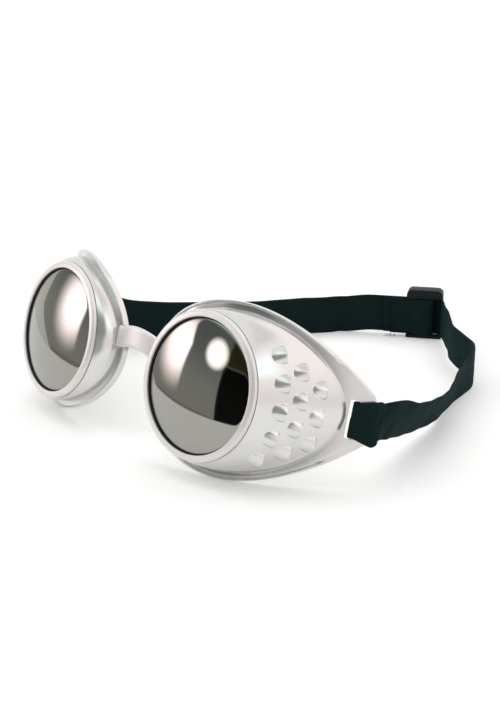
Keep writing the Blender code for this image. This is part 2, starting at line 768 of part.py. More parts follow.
def wrap_path(bend, front_reach, rear_reach):
    """The turn round a tab's bar, in t and n: round its tip and front, through the slot, and behind it."""
    half_pi = 0.5 * math.pi
    points = [leg_point(bend, front_reach, 0)]
    points += arc((BAR_EDGE, 0.0), WRAP_RADIUS, half_pi - bend, half_pi, CORNER_STEPS)
    points += arc((-BAR_EDGE, 0.0), WRAP_RADIUS, half_pi, 3.0 * half_pi, WRAP_STEPS)
    depth = WRAP_RADIUS * (1.0 + math.cos(bend)) - LAYER_PITCH * math.cos(bend)
    corner_t = leg_point(bend, depth / math.sin(bend), 1)[0]
    start_t = corner_t - LOOP_CORNER_RADIUS * math.tan(0.5 * bend)
    centre = (start_t, -WRAP_RADIUS - LOOP_CORNER_RADIUS)
    points += arc(centre, LOOP_CORNER_RADIUS, half_pi, half_pi - bend, CORNER_STEPS)
    points.append(leg_point(bend, rear_reach, 1))
    return points


def leg_up(bend, lean):
    """The strap's width direction at a leg's end, in the +X cup's frame; its top leans outward."""
    heading = tab_slope() + bend
    return (math.sin(lean) * math.sin(heading), -math.sin(lean) * math.cos(heading), math.cos(lean))


def strap_loop(name, side, bend, lean, front_reach, parent):
    """The strap's turn through one tab's slot, which gathers it, in the frame of its pivot on the bar."""
    pivot = bar_centre()
    path = []
    for t, n in wrap_path(bend, front_reach, LEG_REACH):
        point = tab_point(t, n)
        path.append((side * (point[0] - pivot[0]), point[1] - pivot[1], 0.0))
    up = leg_up(bend, lean)
    ups = [(0.0, 0.0, 1.0)] * (len(path) - 1) + [(side * up[0], up[1], up[2])]
    widths = [SLOT_STRAP_WIDTH] * (len(path) - 1) + [STRAP_WIDTH]
    if front_reach == LEG_REACH:
        ups[0] = ups[-1]
        widths[0] = STRAP_WIDTH
    return ribbon(name, path, ups, parent, "black_webbing", widths, STRAP_THICKNESS)


def stitches(name, corners, up, parent):
    return ribbon(name, corners, [up] * len(corners), parent, "black_thread", THREAD, THREAD)


def near_stitches(parent):
    """A zigzag across the cut end of the near loop, on its outer face."""
    pivot = bar_centre()
    outward = HALF_THICK + THREAD_GAP + 0.5 * THREAD
    corners = []
    for stitch in range(STITCH_COUNT + 1):
        reach = CUT_END_REACH - THREAD - (stitch % 2) * STITCH_WIDTH
        t, n = leg_point(NEAR_LOOP_BEND, reach, -outward / LAYER_PITCH)
        z = (stitch / STITCH_COUNT - 0.5) * (SLOT_STRAP_WIDTH - 4.0 * THREAD)
        corners.append(tab_point(t, n, z) - np.array([pivot[0], pivot[1], 0.0]))
    heading = tab_slope() + NEAR_LOOP_BEND
    up = (math.sin(heading), -math.cos(heading), 0.0)
    return stitches("near_loop_stitching", corners, up, parent)


# Route of the strap from the near tab, round the back, to the far tab. Each row holds the share of the
# tab's distance from the middle, the share of the way from the tab to the back of the loop, the share of
# the strap's height above the table at the tab, and how far its top leans outward, in degrees.
NEAR_ROUTE_SHARES = (
    (0.948, 0.147, 0.59, 30.0), (0.897, 0.227, 0.40, 33.0), (0.840, 0.311, 0.23, 32.0),
    (0.790, 0.390, 0.12, 29.0), (0.720, 0.466, 0.03, 24.0), (0.647, 0.546, 0.00, 16.0),
    (0.590, 0.622, 0.00, 10.0), (0.551, 0.686, 0.00, 5.0), (0.478, 0.748, 0.03, 0.0),
    (0.355, 0.784, 0.07, 0.0), (0.250, 0.815, 0.10, 0.0), (0.130, 0.884, 0.118, 0.0),
)
FAR_ROUTE_SHARES = (
    (-0.552, 0.751, 0.00, 0.0), (-0.612, 0.697, 0.00, 0.0), (-0.660, 0.637, 0.00, 0.0),
    (-0.706, 0.580, 0.00, 0.0), (-0.770, 0.520, 0.00, 0.0), (-0.870, 0.423, 0.04, 0.0),
    (-0.940, 0.342, 0.09, 0.0), (-1.010, 0.257, 0.18, 0.0), (-1.048, 0.183, 0.33, 0.0),
)
ROUTE_STEP = 0.0034
STRAIGHT_STEPS = 7
TOUCHDOWN_SHARE = 0.65


def lens_height():
    """Height of the lens midpoint above the table, with the cups standing on their flanges."""
    depth = flange_depth(FLANGE[:, 0]) + LIP_HEIGHT + FLANGE_THICKNESS
    rims = loop_3d(FLANGE, depth)
    return -min(cup_world(point, 1)[2] for point in rims)


def strap_rest_height():
    """Height of the strap's lower edge at the slider, which stands on its bottom bar."""
    return SLIDER_BOTTOM_BAR + GAP


def route_knots(shares, side):
    """Rows of a middle point and its up direction for each row of a route's shares."""
    table = -lens_height()
    tip = cup_world(tab_point(BAR_EDGE, 0.0), 1)
    tab_low = cup_world(tab_point(0.0, 0.0, -0.5 * STRAP_WIDTH), 1)
    clearance = tab_low[2] - table
    knots = []
    for x_share, y_share, z_share, lean_degrees in shares:
        lean = math.radians(lean_degrees)
        x = x_share * tip[0]
        y = tip[1] + y_share * (LOOP_DEPTH - tip[1])
        low = table + z_share * clearance
        z = low + 0.5 * STRAP_WIDTH * math.cos(lean) + HALF_THICK * math.sin(lean)
        knots.append((x, y, z, side * math.sin(lean), 0.0, math.cos(lean)))
    return knots


def back_point(reach, heading, inward=0.0):
    """A point reach from the corner at the back along a heading, moved toward the inside of the loop."""
    turn = 0.5 * math.pi if heading == FAR_HEADING else -0.5 * math.pi
    x = CORNER_X + reach * math.cos(heading) + inward * math.cos(heading + turn)
    y = LOOP_DEPTH + reach * math.sin(heading) + inward * math.sin(heading + turn)
    return (x, y)


def back_knot(point, share=1.0):
    """A row for an upright strap; share is of the strap's height above the table at the slider."""
    z = -lens_height() + share * strap_rest_height() + 0.5 * STRAP_WIDTH
    return (point[0], point[1], z, 0.0, 0.0, 1.0)


def straight_knots():
    """Rows along the straight stretch, from the corner's turn to where the strap comes down to the table."""
    tangent = corner_tangent()
    rows = []
    for step in range(STRAIGHT_STEPS + 1):
        share = step / STRAIGHT_STEPS
        reach = tangent + (STRAIGHT_LENGTH - tangent) * share
        height_share = 1.0 - fade(share, TOUCHDOWN_SHARE, 1.0 - TOUCHDOWN_SHARE)
        rows.append(back_knot(back_point(reach, FAR_HEADING), height_share))
    return rows


def corner_tangent():
    """Distance from the corner at which its turn meets the straight stretches."""
    turn = NEAR_HEADING + math.pi - (FAR_HEADING - math.pi)
    return CORNER_RADIUS * math.tan(0.5 * (math.pi - turn))


def corner_knots():
    """Rows round the corner, from the near side to the far side."""
    centre = back_point(corner_tangent(), FAR_HEADING, CORNER_RADIUS)
    start = NEAR_HEADING + 0.5 * math.pi
    end = FAR_HEADING - 0.5 * math.pi
    return [back_knot(point) for point in arc(centre, CORNER_RADIUS, start, end, 2 * CORNER_STEPS)]


def leg_knots(side, bend, lean, layer):
    """Two rows in line with a loop's leg, where a run takes over from it."""
    knots = []
    local = leg_up(bend, lean)
    for reach in (LEG_REACH + GAP, LEG_REACH + LEG_LEAD):
        t, n = leg_point(bend, reach, layer)
        point = cup_world(tab_point(t, n), side)
        up = np.array(cup_matrix(side).to_3x3() @ Vector((side * local[0], local[1], local[2])))
        knots.append(tuple(point) + tuple(up))
    return knots


def run(name, knots, parent):
    curve = smooth_curve(knots)
    return ribbon(name, curve[:, :3], curve[:, 3:], parent, "black_webbing", STRAP_WIDTH, STRAP_THICKNESS)


def shifted(knots, inward):
    """The same route drawn toward the inside of the loop by an even amount."""
    knots = np.array(knots)
    ahead = np.roll(knots, -1, axis=0)
    behind = np.roll(knots, 1, axis=0)
    ahead[-1] = knots[-1]
    behind[0] = knots[0]
    tangent = (ahead - behind)[:, :3]
    normal = np.cross(tangent, knots[:, 3:])
    normal /= np.linalg.norm(normal, axis=1)[:, None]
    moved = knots.copy()
    moved[:, :3] -= inward * normal
    return moved


def near_run(parent):
    knots = leg_knots(1, NEAR_LOOP_BEND, NEAR_LEG_LEAN, 1)
    knots += route_knots(NEAR_ROUTE_SHARES, 1)
    knots.append(back_knot(back_point(NEAR_RUN_START + GAP, NEAR_HEADING)))
    return run("strap_near_run", knots, parent)


def far_knots():
    return route_knots(FAR_ROUTE_SHARES, -1) + leg_knots(-1, FAR_LOOP_BEND, FAR_LEG_LEAN, 0)[::-1]


def back_run(parent):
    knots = [back_knot(back_point(NEAR_RUN_START, NEAR_HEADING))]
    knots += corner_knots() + straight_knots()[1:] + far_knots()
    return run("strap_back_run", knots, parent)


def return_run(parent):
    """The doubled strap from the slider's sewn tail to the far tab, inside the back run."""
    start = back_knot(back_point(SLIDER_FROM_CORNER + TAIL_REACH + GAP, FAR_HEADING))
    rest = [knot for knot in straight_knots() if knot[0] < start[0] - ROUTE_STEP]
    curve = shifted(smooth_curve([start] + rest + far_knots()), LAYER_PITCH)
    return run("strap_return_run", curve, parent)


# Slider, in the frame of an empty at the strap's middle and the table's height

TAIL_NEAR_BAR = LAYER_PITCH
BAR_BACK = TAIL_NEAR_BAR + HALF_THICK + GAP
BAR_FRONT = BAR_BACK + SLIDER_BAR_DEPTH
TAIL_FRONT_LAYER = BAR_FRONT + GAP + HALF_THICK
TAIL_EASE_LENGTH = 0.0050
CORNER_POINTS = 5


def slider_point(t, inward, z):
    """t along the slider toward the corner; inward from the strap's middle toward the goggles."""
    along = np.array([-math.cos(FAR_HEADING), -math.sin(FAR_HEADING), 0.0])
    inside = np.array([-math.sin(FAR_HEADING), math.cos(FAR_HEADING), 0.0])
    return along * t + inside * inward + np.array([0.0, 0.0, z])


def slider_box(name, t0, t1, in0, in1, z0, z1, parent):
    verts = []
    for z in (z0, z1):
        for t, inward in ((t0, in0), (t1, in0), (t1, in1), (t0, in1)):
            verts.append(slider_point(t, inward, z))
    faces = [(0, 1, 2, 3), (4, 5, 6, 7)] + bridge_loops(4, 2, False)
    return add_mesh(name, verts, faces, parent)


def slider(parent):
    """A three-bar slide: two side bars outside the strap, and a centre bar inside it that the tail wraps."""
    half = 0.5 * SLIDER_WIDTH
    low = SLIDER_BOTTOM_BAR
    high = low + STRAP_WIDTH + 2.0 * GAP
    top = high + SLIDER_TOP_BAR
    side_inner = half - SLIDER_SIDE_BAR
    side_front = -HALF_THICK - GAP
    back = side_front - SLIDER_BAR_DEPTH
    outline = []
    corners = ((half, low, -1, 1), (half, top, 1, 1), (-half, top, 1, -1), (-half, low, -1, -1))
    for t, z, up, across in corners:
        round_size = SLIDER_CORNER if up > 0 else 0.5 * low
        centre_t = t - across * round_size
        centre_z = (z if up > 0 else 0.0) - up * round_size
        for step in range(CORNER_POINTS + 1):
            share = step / CORNER_POINTS
            if up * across < 0:
                share = 1.0 - share
            angle = 0.5 * math.pi * share
            t_out = across * round_size * math.cos(angle)
            z_out = up * round_size * math.sin(angle)
            outline.append((centre_t + t_out, centre_z + z_out))
    verts = []
    for inward in (back, BAR_FRONT):
        for t, z in outline:
            verts.append(slider_point(t, inward, z))
    count = len(outline)
    faces = bridge_loops(count, 2, False)
    faces += [tuple(range(count)), tuple(range(count, 2 * count))]
    body = add_mesh("strap_slider", verts, faces, parent, "black_plastic")
    reach = half + CUT_OVERRUN
    bar = 0.5 * SLIDER_CENTRE_BAR
    far = BAR_FRONT + CUT_OVERRUN
    cuts = (
        ("slider_window_near", bar, reach, side_front, far),
        ("slider_window_far", -reach, -bar, side_front, far),
        ("slider_window_back", -side_inner, side_inner, back - CUT_OVERRUN, BAR_BACK),
    )
    for name, t0, t1, in0, in1 in cuts:
        add_boolean(body, slider_box(name, t0, t1, in0, in1, low, high, parent), "DIFFERENCE")
    return body


def tail_knot(reach, inward):
    """A point of the sewn tail, reach from the slider's middle toward the far side."""
    return slider_point(-reach, inward, strap_rest_height() + 0.5 * STRAP_WIDTH)


def slider_loop(parent):
    """The strap's end, sewn back on itself round the slider's centre bar."""
    bar = 0.5 * SLIDER_CENTRE_BAR
    turn = 0.5 * (TAIL_FRONT_LAYER - TAIL_NEAR_BAR)
    doubled = TAIL_NEAR_BAR + LAYER_PITCH
    path = []
    lead = bar + TAIL_EASE_LENGTH
    for step in range(CORNER_POINTS + 1):
        path.append(tail_knot(TAIL_CUT_REACH + (lead - TAIL_CUT_REACH) * step / CORNER_POINTS, doubled))
    for step in range(1, CORNER_POINTS + 1):
        share = step / CORNER_POINTS
        ease = share * share * (3.0 - 2.0 * share)
        inward = doubled + (TAIL_FRONT_LAYER - doubled) * ease
        path.append(tail_knot(lead - TAIL_EASE_LENGTH * share, inward))
    middle = TAIL_NEAR_BAR + turn
    for step in range(WRAP_STEPS + 1):
        angle = 0.5 * math.pi - math.pi * step / WRAP_STEPS
        path.append(tail_knot(-bar - turn * math.cos(angle), middle + turn * math.sin(angle)))
    for step in range(1, 2 * CORNER_POINTS + 1):
        path.append(tail_knot(-bar + (TAIL_REACH + bar) * step / (2 * CORNER_POINTS), TAIL_NEAR_BAR))
    ups = [(0.0, 0.0, 1.0)] * len(path)
    return ribbon("slider_strap_loop", path, ups, parent, "black_webbing", STRAP_WIDTH, STRAP_THICKNESS)


def tail_stitches(parent):
    """A zigzag across the cut end of the tail, on the face toward the goggles."""
    inward = TAIL_NEAR_BAR + LAYER_PITCH + HALF_THICK + THREAD_GAP + 0.5 * THREAD
    corners = []
    for stitch in range(STITCH_COUNT + 1):
        reach = TAIL_CUT_REACH - THREAD - (stitch % 2) * STITCH_WIDTH
        point = tail_knot(reach, inward)
        point[2] += (stitch / STITCH_COUNT - 0.5) * (STRAP_WIDTH - 4.0 * THREAD)
        corners.append(point)
    return stitches("slider_loop_stitching", corners, tuple(slider_point(0.0, 1.0, 0.0)), parent)


def world_bounds():
    points = []
    for part in bpy.data.objects:
        if part.type == "MESH" and not part.hide_render:
            points += [part.matrix_world @ v.co for v in part.data.vertices]
    points = np.array(points)
    return points.min(axis=0), points.max(axis=0)


def main():
    clear_scene()
    root = add_empty("goggles")
    frames = {}
    for side, word in ((1, "near"), (-1, "far")):
        frames[side] = add_empty(word + "_cup_frame", root, cup_matrix(side))
        cup_shell(word + "_cup_shell", side, frames[side])
        turned(word + "_lens_ring", ring_profile(), frames[side], "pearl_silver")
        turned(word + "_lens_gasket", gasket_profile(), frames[side], "black_rubber")
        lens(word + "_lens", frames[side])
    bridge(root, frames)
    pivots = {}
    for side, word in ((1, "near"), (-1, "far")):
        x, y = bar_centre()
        pivots[side] = add_empty(word + "_loop_pivot", frames[side], Matrix.Translation((side * x, y, 0.0)))
    strap_loop("near_strap_loop", 1, NEAR_LOOP_BEND, NEAR_LEG_LEAN, CUT_END_REACH, pivots[1])
    near_stitches(pivots[1])
    strap_loop("far_strap_loop", -1, FAR_LOOP_BEND, FAR_LEG_LEAN, LEG_REACH, pivots[-1])
    near_run(root)
    back_run(root)
    return_run(root)
    x, y = back_point(SLIDER_FROM_CORNER, FAR_HEADING)
    carriage = add_empty("slider_place", root, Matrix.Translation((x, y, -lens_height())))
    slider(carriage)
    slider_loop(carriage)
    tail_stitches(carriage)
    # Stand the goggles on the table, with the middle of their floor box at the origin
    bpy.context.view_layer.update()
    low, high = world_bounds()
    root.location = (-0.5 * (low[0] + high[0]), -0.5 * (low[1] + high[1]), -low[2])
    bpy.context.view_layer.update()


main()
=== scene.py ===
"""Looks of the costume goggles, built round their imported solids.

Units are metres and +Z is up. The pieces are drawn in the frame of the solids, so that each takes the place of
one or more of them. A cup is drawn in a frame of its own: x runs from the lens centre to the temple, y runs
back from the plane of the ring's front, and z runs up along the lens. A mirrored x gives the other cup.
"""

import math

import bpy
import numpy as np
from mathutils import Matrix, Vector


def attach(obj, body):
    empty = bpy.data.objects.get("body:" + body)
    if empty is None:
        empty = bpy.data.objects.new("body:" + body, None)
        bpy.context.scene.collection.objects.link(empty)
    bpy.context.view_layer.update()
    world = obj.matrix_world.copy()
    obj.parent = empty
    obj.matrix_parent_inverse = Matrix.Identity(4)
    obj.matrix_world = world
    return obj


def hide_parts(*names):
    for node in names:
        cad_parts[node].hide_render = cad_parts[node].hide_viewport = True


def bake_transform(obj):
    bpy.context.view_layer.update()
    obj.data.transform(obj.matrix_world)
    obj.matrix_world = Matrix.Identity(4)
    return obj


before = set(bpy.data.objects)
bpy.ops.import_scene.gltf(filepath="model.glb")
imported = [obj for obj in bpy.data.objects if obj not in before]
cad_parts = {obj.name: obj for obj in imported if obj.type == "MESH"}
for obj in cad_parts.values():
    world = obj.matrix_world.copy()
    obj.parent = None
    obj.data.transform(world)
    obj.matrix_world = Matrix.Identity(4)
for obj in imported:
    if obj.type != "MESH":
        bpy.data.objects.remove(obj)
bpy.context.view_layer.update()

# Middle between the two lens centres, in the frame of the solids, and its height above the table
MIDDLE = Vector((0.00153331, -0.08361669, 0.03134006))
TABLE_DROP = 0.03126982

# Clearances between pieces, and one overrun for every cut
GAP = 0.0003
CUT_OVERRUN = 0.004

# Lens ring, from the opening that it leaves for the lens
APERTURE_RADIUS = 0.0225
RING_BAND = 0.0023
RING_RADIUS = APERTURE_RADIUS + RING_BAND
RING_LIP_ROUND = 0.0009
RING_INNER_CHAMFER = 0.0002
RING_FLAT_SHARE = 0.12
RING_DEPTH = 0.0016
RING_SKIRT_STEP = 0.0008
RING_SKIRT_RADIUS = RING_RADIUS - RING_SKIRT_STEP
RING_SKIRT_WALL = 0.0010
RING_SKIRT_DEPTH = 0.0028

# Lens and gasket
LENS_THICKNESS = 0.0018
GASKET_DEPTH = 0.0009

# Cup wall
CUP_WALL = 0.0018
BODY_FRONT_STEP = 0.0001
BODY_FRONT_RADIUS = RING_RADIUS + BODY_FRONT_STEP
SHELF_OVERLAP = 0.0011
SHELF_RADIUS = APERTURE_RADIUS - SHELF_OVERLAP
SHELF_THICKNESS = 0.0015
WALL_BULGE = 0.0011

# Outline of the body's rear edge, past its front on each side, and how far it stands before the flange's lip
BODY_CENTRE_X = 0.0060
BODY_NOSE_REACH = 0.0033
BODY_TEMPLE_REACH = 0.0144
BODY_HEIGHT_REACH = 0.0014
BODY_NOSE_LENGTH = BODY_FRONT_RADIUS + BODY_NOSE_REACH + BODY_CENTRE_X
BODY_TEMPLE_LENGTH = BODY_FRONT_RADIUS + BODY_TEMPLE_REACH - BODY_CENTRE_X
BODY_HALF_HEIGHT = BODY_FRONT_RADIUS + BODY_HEIGHT_REACH
BODY_STEP = 0.0020
BODY_STEP_AT_TAB = 0.0006

# Outline of the flange, past the body's on each side, which ends in the blunt strap tab
FLANGE_CENTRE_X = BODY_CENTRE_X
FLANGE_NOSE_REACH = 0.0029
FLANGE_TEMPLE_REACH = 0.0109
FLANGE_HEIGHT_REACH = 0.0029
FLANGE_NOSE_LENGTH = BODY_NOSE_LENGTH + FLANGE_NOSE_REACH
FLANGE_TEMPLE_LENGTH = BODY_TEMPLE_LENGTH + FLANGE_TEMPLE_REACH
FLANGE_HALF_HEIGHT = BODY_HALF_HEIGHT + FLANGE_HEIGHT_REACH
TAB_REACH = 0.0066
TAB_TIP_X = BODY_CENTRE_X + BODY_TEMPLE_LENGTH + TAB_REACH
TAB_CORNER = 0.0020
FLANGE_DEPTH = 0.0077
FLANGE_SLOPE = 0.188
FLANGE_CURVE_RADIUS = 0.0617
FLANGE_THICKNESS = 0.0015
LIP_HEIGHT = 0.0009
LIP_FADE_LENGTH = 0.0060

# Placing of the two cups
NOSE_SPAN = 0.0181
LENS_SPACING = NOSE_SPAN + 2.0 * (FLANGE_NOSE_LENGTH - FLANGE_CENTRE_X)
CUP_SPLAY = math.radians(5.8)
CUP_LEAN = math.radians(15.6)

# Slot in each tab
SLOT_WIDTH = 0.0031
SLOT_LOW = -0.0073
SLOT_HIGH = 0.0055
BAR_WIDTH = 0.0050

# Bridge
BRIDGE_HEIGHT = 0.0075
BRIDGE_THICKNESS = 0.0016
BRIDGE_RISE = 0.0020
BRIDGE_FORWARD = 0.0009
BRIDGE_SEAT_HEIGHT = 0.0058
BRIDGE_LAP = 0.0021
PEG_HEAD_RADIUS = 0.0011
PEG_HEAD_HEIGHT = 0.0006

# Strap
STRAP_WIDTH = 0.0154
SLOT_STRAP_WIDTH = 0.0140
STRAP_THICKNESS = 0.0010
LOOP_SLACK = 0.0005
LOOP_CORNER_RADIUS = 0.0020
NEAR_LOOP_BEND = math.radians(53.0)
FAR_LOOP_BEND = math.radians(30.0)
NEAR_LEG_LEAN = math.radians(20.0)
FAR_LEG_LEAN = 0.0
CUT_END_REACH = 0.0022
LEG_REACH = 0.0100
LEG_LEAD = 0.0040
LOOP_DEPTH = 0.1717
THREAD = 0.0003
THREAD_GAP = 0.00015
STITCH_WIDTH = 0.0013
STITCH_COUNT = 14

# Corner at the back of the loop, and the straight stretch of strap from it toward the far side
CORNER_X = -0.0072
CORNER_RADIUS = 0.0040
FAR_HEADING = math.radians(217.0)
NEAR_HEADING = math.radians(-42.0)
STRAIGHT_LENGTH = 0.0430
NEAR_RUN_START = 0.0070

# Slider
SLIDER_FROM_CORNER = 0.0070
SLIDER_CENTRE_BAR = 0.0038
SLIDER_BAR_DEPTH = 0.0016
SLIDER_BOTTOM_BAR = 0.0012
TAIL_CUT_REACH = 0.0143
TAIL_REACH = 0.0175

# Fine drawing of the moulded cups
TEMPLE_SECTOR = math.radians(52.0)
FINE_ANGLE = math.radians(0.35)
COARSE_ANGLE = math.radians(1.6)
OUTLINE_STEPS = 160
WALL_ROWS = 84
ROUND_STEPS = 4
ROUND_SHARE = 0.45
BODY_EDGE_ROUND = 0.0003
FULL_BULGE_LENGTH = 0.015
GUTTER_ROUND = 0.0005
GUTTER_STEPS = 10
LIP_ROUND = 0.0003
GUTTER_CROWN = 0.00004
CROWN_SHARE = 0.01
LIP_FOOT = 0.0010
LIP_CREST = 0.0005

# Vents on the temple side
VENT_ARC_SHARES = (0.271, 0.486, 0.701)
VENT_ARC_COUNTS = (5, 4, 3)
VENT_PITCH = 0.0090
VENT_ARC_MIDDLE = math.radians(-3.0)
VENT_LENGTH = 0.0048
VENT_WIDTH = 0.0060
VENT_HEIGHT = 0.0020
VENT_CUT_SHARE = 0.05
VENT_BLUNTNESS = 2.4
VENT_RISE_POWER = 0.75
VENT_RIDGE_SHARE = 0.35
VENT_CORNER_SHARE = 0.18
VENT_LEVEL_SHARE = 0.45
NUDGE_SHARE = 0.01


def deselect():
    bpy.ops.object.select_all(action="DESELECT")


def take(name):
    """The object that an operator has just made, with its name."""
    piece = bpy.context.object
    piece.name = name
    piece.data.name = name
    return piece


def pick(*pieces):
    """Selects these pieces alone and makes the last of them the active one."""
    deselect()
    for piece in pieces:
        piece.select_set(True)
    bpy.context.view_layer.objects.active = pieces[-1]


def edit(piece):
    """Edit mode on one piece, with all of it selected."""
    pick(piece)
    bpy.ops.object.mode_set(mode="EDIT")
    bpy.ops.mesh.select_all(action="SELECT")


def leave_edit():
    bpy.ops.object.mode_set(mode="OBJECT")


def smooth(piece, sharp_degrees):
    pick(piece)
    bpy.ops.object.shade_smooth_by_angle(angle=math.radians(sharp_degrees))
    return piece


def points_of(piece):
    flat = np.empty(3 * len(piece.data.vertices), dtype=np.float32)
    piece.data.vertices.foreach_get("co", flat)
    return flat.reshape(-1, 3)


def set_points(piece, points):
    piece.data.vertices.foreach_set("co", np.asarray(points, dtype=np.float32).reshape(-1))
    piece.data.update()


MERGE = 2e-6
SHARP_DEGREES = 35.0


def close_seams(piece, sharp_degrees=SHARP_DEGREES):
    """Joins points that meet, turns the faces outward and smooths all but sharp edges."""
    edit(piece)
    bpy.ops.mesh.remove_doubles(threshold=MERGE)
    bpy.ops.mesh.normals_make_consistent(inside=False)
    leave_edit()
    return smooth(piece, sharp_degrees)


def apply_modifiers(piece):
    pick(piece)
    for modifier in list(piece.modifiers):
        bpy.ops.object.modifier_apply(modifier=modifier.name)


def surface(name, rows, uv=None, sharp_degrees=SHARP_DEGREES):
    """A grid shaped to rows of points. Rows or columns that meet are joined."""
    count, across = rows.shape[:2]
    deselect()
    bpy.ops.mesh.primitive_grid_add(x_subdivisions=across - 1, y_subdivisions=count - 1, size=1.0)
    piece = take(name)
    set_points(piece, rows)
    if uv is not None:
        corners = np.empty(len(piece.data.loops), dtype=np.int32)
        piece.data.loops.foreach_get("vertex_index", corners)
        flat = uv.reshape(-1, 2)[corners]
        piece.data.uv_layers[0].data.foreach_set("uv", flat.reshape(-1).astype(np.float32))
    return close_seams(piece, sharp_degrees)


def toward(azimuth, elevation):
    """Unit direction in degrees: azimuth 0 is straight before the goggles and 90 past the near temple."""
    az, el = math.radians(azimuth), math.radians(elevation)
    return np.array([math.sin(az) * math.cos(el), -math.cos(az) * math.cos(el), math.sin(el)])


def placed(points, side):
    """From a cup's frame, before mirroring, to the frame of the solids."""
    points = np.array(points, dtype=float)
    points[..., 0] *= side
    matrix = np.array(Matrix.Translation(MIDDLE) @ cup_matrix(side))
    return points @ matrix[:3, :3].T + matrix[:3, 3]


def shifted_to_frame(points):
    return np.array(points, dtype=float) + np.array(MIDDLE)


def bend_point(start, corner, end, u):
    """A point of the curve that rounds a corner, at a share u of the way."""
    return (1 - u) ** 2 * start + 2 * u * (1 - u) * corner + u * u * end


def half_outline(centre_x, nose, temple, height, power, roundness, tip_x):
    """Points of the upper half, from the temple's end to the nose."""
    points = []
    reach = tip_x - centre_x
    for i in range(OUTLINE_STEPS):
        u = reach * math.sin(0.5 * math.pi * (1.0 - i / OUTLINE_STEPS))
        z = height * max(0.0, 1.0 - (u / temple) ** power) ** (1.0 / roundness)
        points.append((centre_x + u, z))
    for i in range(OUTLINE_STEPS + 1):
        angle = 0.5 * math.pi * (1.0 + i / OUTLINE_STEPS)
        points.append((centre_x + nose * math.cos(angle), height * math.sin(angle)))
    return points


def flange_depth(x):
    """Depth of the flange's lip behind the ring's front; it sweeps back toward the temple."""
    return FLANGE_DEPTH + FLANGE_SLOPE * x + x * x / (2.0 * FLANGE_CURVE_RADIUS)


def fade(x, start, length):
    share = np.clip((x - start) / length, 0.0, 1.0)
    return share * share * (3.0 - 2.0 * share)


def body_edge_depth(x):
    share = fade(x, 0.0, BODY_CENTRE_X + BODY_TEMPLE_LENGTH)
    step = BODY_STEP + (BODY_STEP_AT_TAB - BODY_STEP) * share
    return flange_depth(x) - step


FLANGE_TEMPLE_POWER = 1.88
FLANGE_TEMPLE_ROUNDNESS = 1.23
BODY_TEMPLE_POWER = 2.0
BODY_TEMPLE_ROUNDNESS = 1.8
CORNER_STEPS = 8
WRAP_STEPS = 20


def body_half():
    return half_outline(
        BODY_CENTRE_X, BODY_NOSE_LENGTH, BODY_TEMPLE_LENGTH, BODY_HALF_HEIGHT,
        BODY_TEMPLE_POWER, BODY_TEMPLE_ROUNDNESS, BODY_CENTRE_X + BODY_TEMPLE_LENGTH,
    )


def flange_half():
    """The flange's upper half, with a rounded corner at the tab's blunt tip."""
    points = half_outline(
        FLANGE_CENTRE_X, FLANGE_NOSE_LENGTH, FLANGE_TEMPLE_LENGTH, FLANGE_HALF_HEIGHT,
        FLANGE_TEMPLE_POWER, FLANGE_TEMPLE_ROUNDNESS, TAB_TIP_X,
    )
    tip_z = points[0][1]
    rest = [p for p in points if math.hypot(p[0] - TAB_TIP_X, p[1] - tip_z) > TAB_CORNER]
    start = np.array([TAB_TIP_X, tip_z - TAB_CORNER])
    corner = np.array([TAB_TIP_X, tip_z])
    end = np.array(rest[0])
    turn = [tuple(bend_point(start, corner, end, step / CORNER_STEPS)) for step in range(CORNER_STEPS)]
    return [(TAB_TIP_X, 0.0)] + turn + rest


def around_angles():
    """Directions round the lens, close together on the temple side where the vents are."""
    fine = np.arange(-TEMPLE_SECTOR, TEMPLE_SECTOR, FINE_ANGLE)
    coarse = np.arange(TEMPLE_SECTOR, 2.0 * math.pi - TEMPLE_SECTOR, COARSE_ANGLE)
    return np.concatenate([fine, coarse, [2.0 * math.pi - TEMPLE_SECTOR]])


def folded(angle):
    """How far each direction is from the temple's, on either side."""
    return np.abs((angle + math.pi) % (2.0 * math.pi) - math.pi)


POLAR = around_angles()


def circle_points(radius):
    return np.stack([radius * np.cos(POLAR), radius * np.sin(POLAR)], axis=1)


def as_polar(half):
    line = np.array(half)
    return np.arctan2(line[:, 1], line[:, 0]), np.hypot(line[:, 0], line[:, 1])


def polar_outline(half):
    return circle_points(np.interp(folded(POLAR), *as_polar(half)))


def inset(outline, amount):
    """An outline drawn in by an even amount along its own normals; its last point repeats the first."""
    open_line = outline[:-1]
    tangent = np.roll(open_line, -1, axis=0) - np.roll(open_line, 1, axis=0)
    tangent /= np.linalg.norm(tangent, axis=1)[:, None]
    normal = np.stack([-tangent[:, 1], tangent[:, 0]], axis=1)
    moved = open_line + amount * normal
    return np.concatenate([moved, moved[:1]])


def loop_3d(outline, depth):
    depth = np.broadcast_to(depth, len(outline))
    return np.stack([outline[:, 0], depth, outline[:, 1]], axis=1)


BODY = polar_outline(body_half())
FLANGE = polar_outline(flange_half())
BODY_ANGLES, BODY_RADII = as_polar(body_half())

BODY_FRONT = RING_DEPTH + GAP
LENS_FRONT = RING_SKIRT_DEPTH + GAP
SHELF_FRONT = LENS_FRONT + LENS_THICKNESS + GAP
BORE_RADIUS = RING_SKIRT_RADIUS + GAP
TAB_START_X = TAB_TIP_X - BAR_WIDTH - SLOT_WIDTH
FULL_LIP_X = TAB_START_X - LIP_FADE_LENGTH


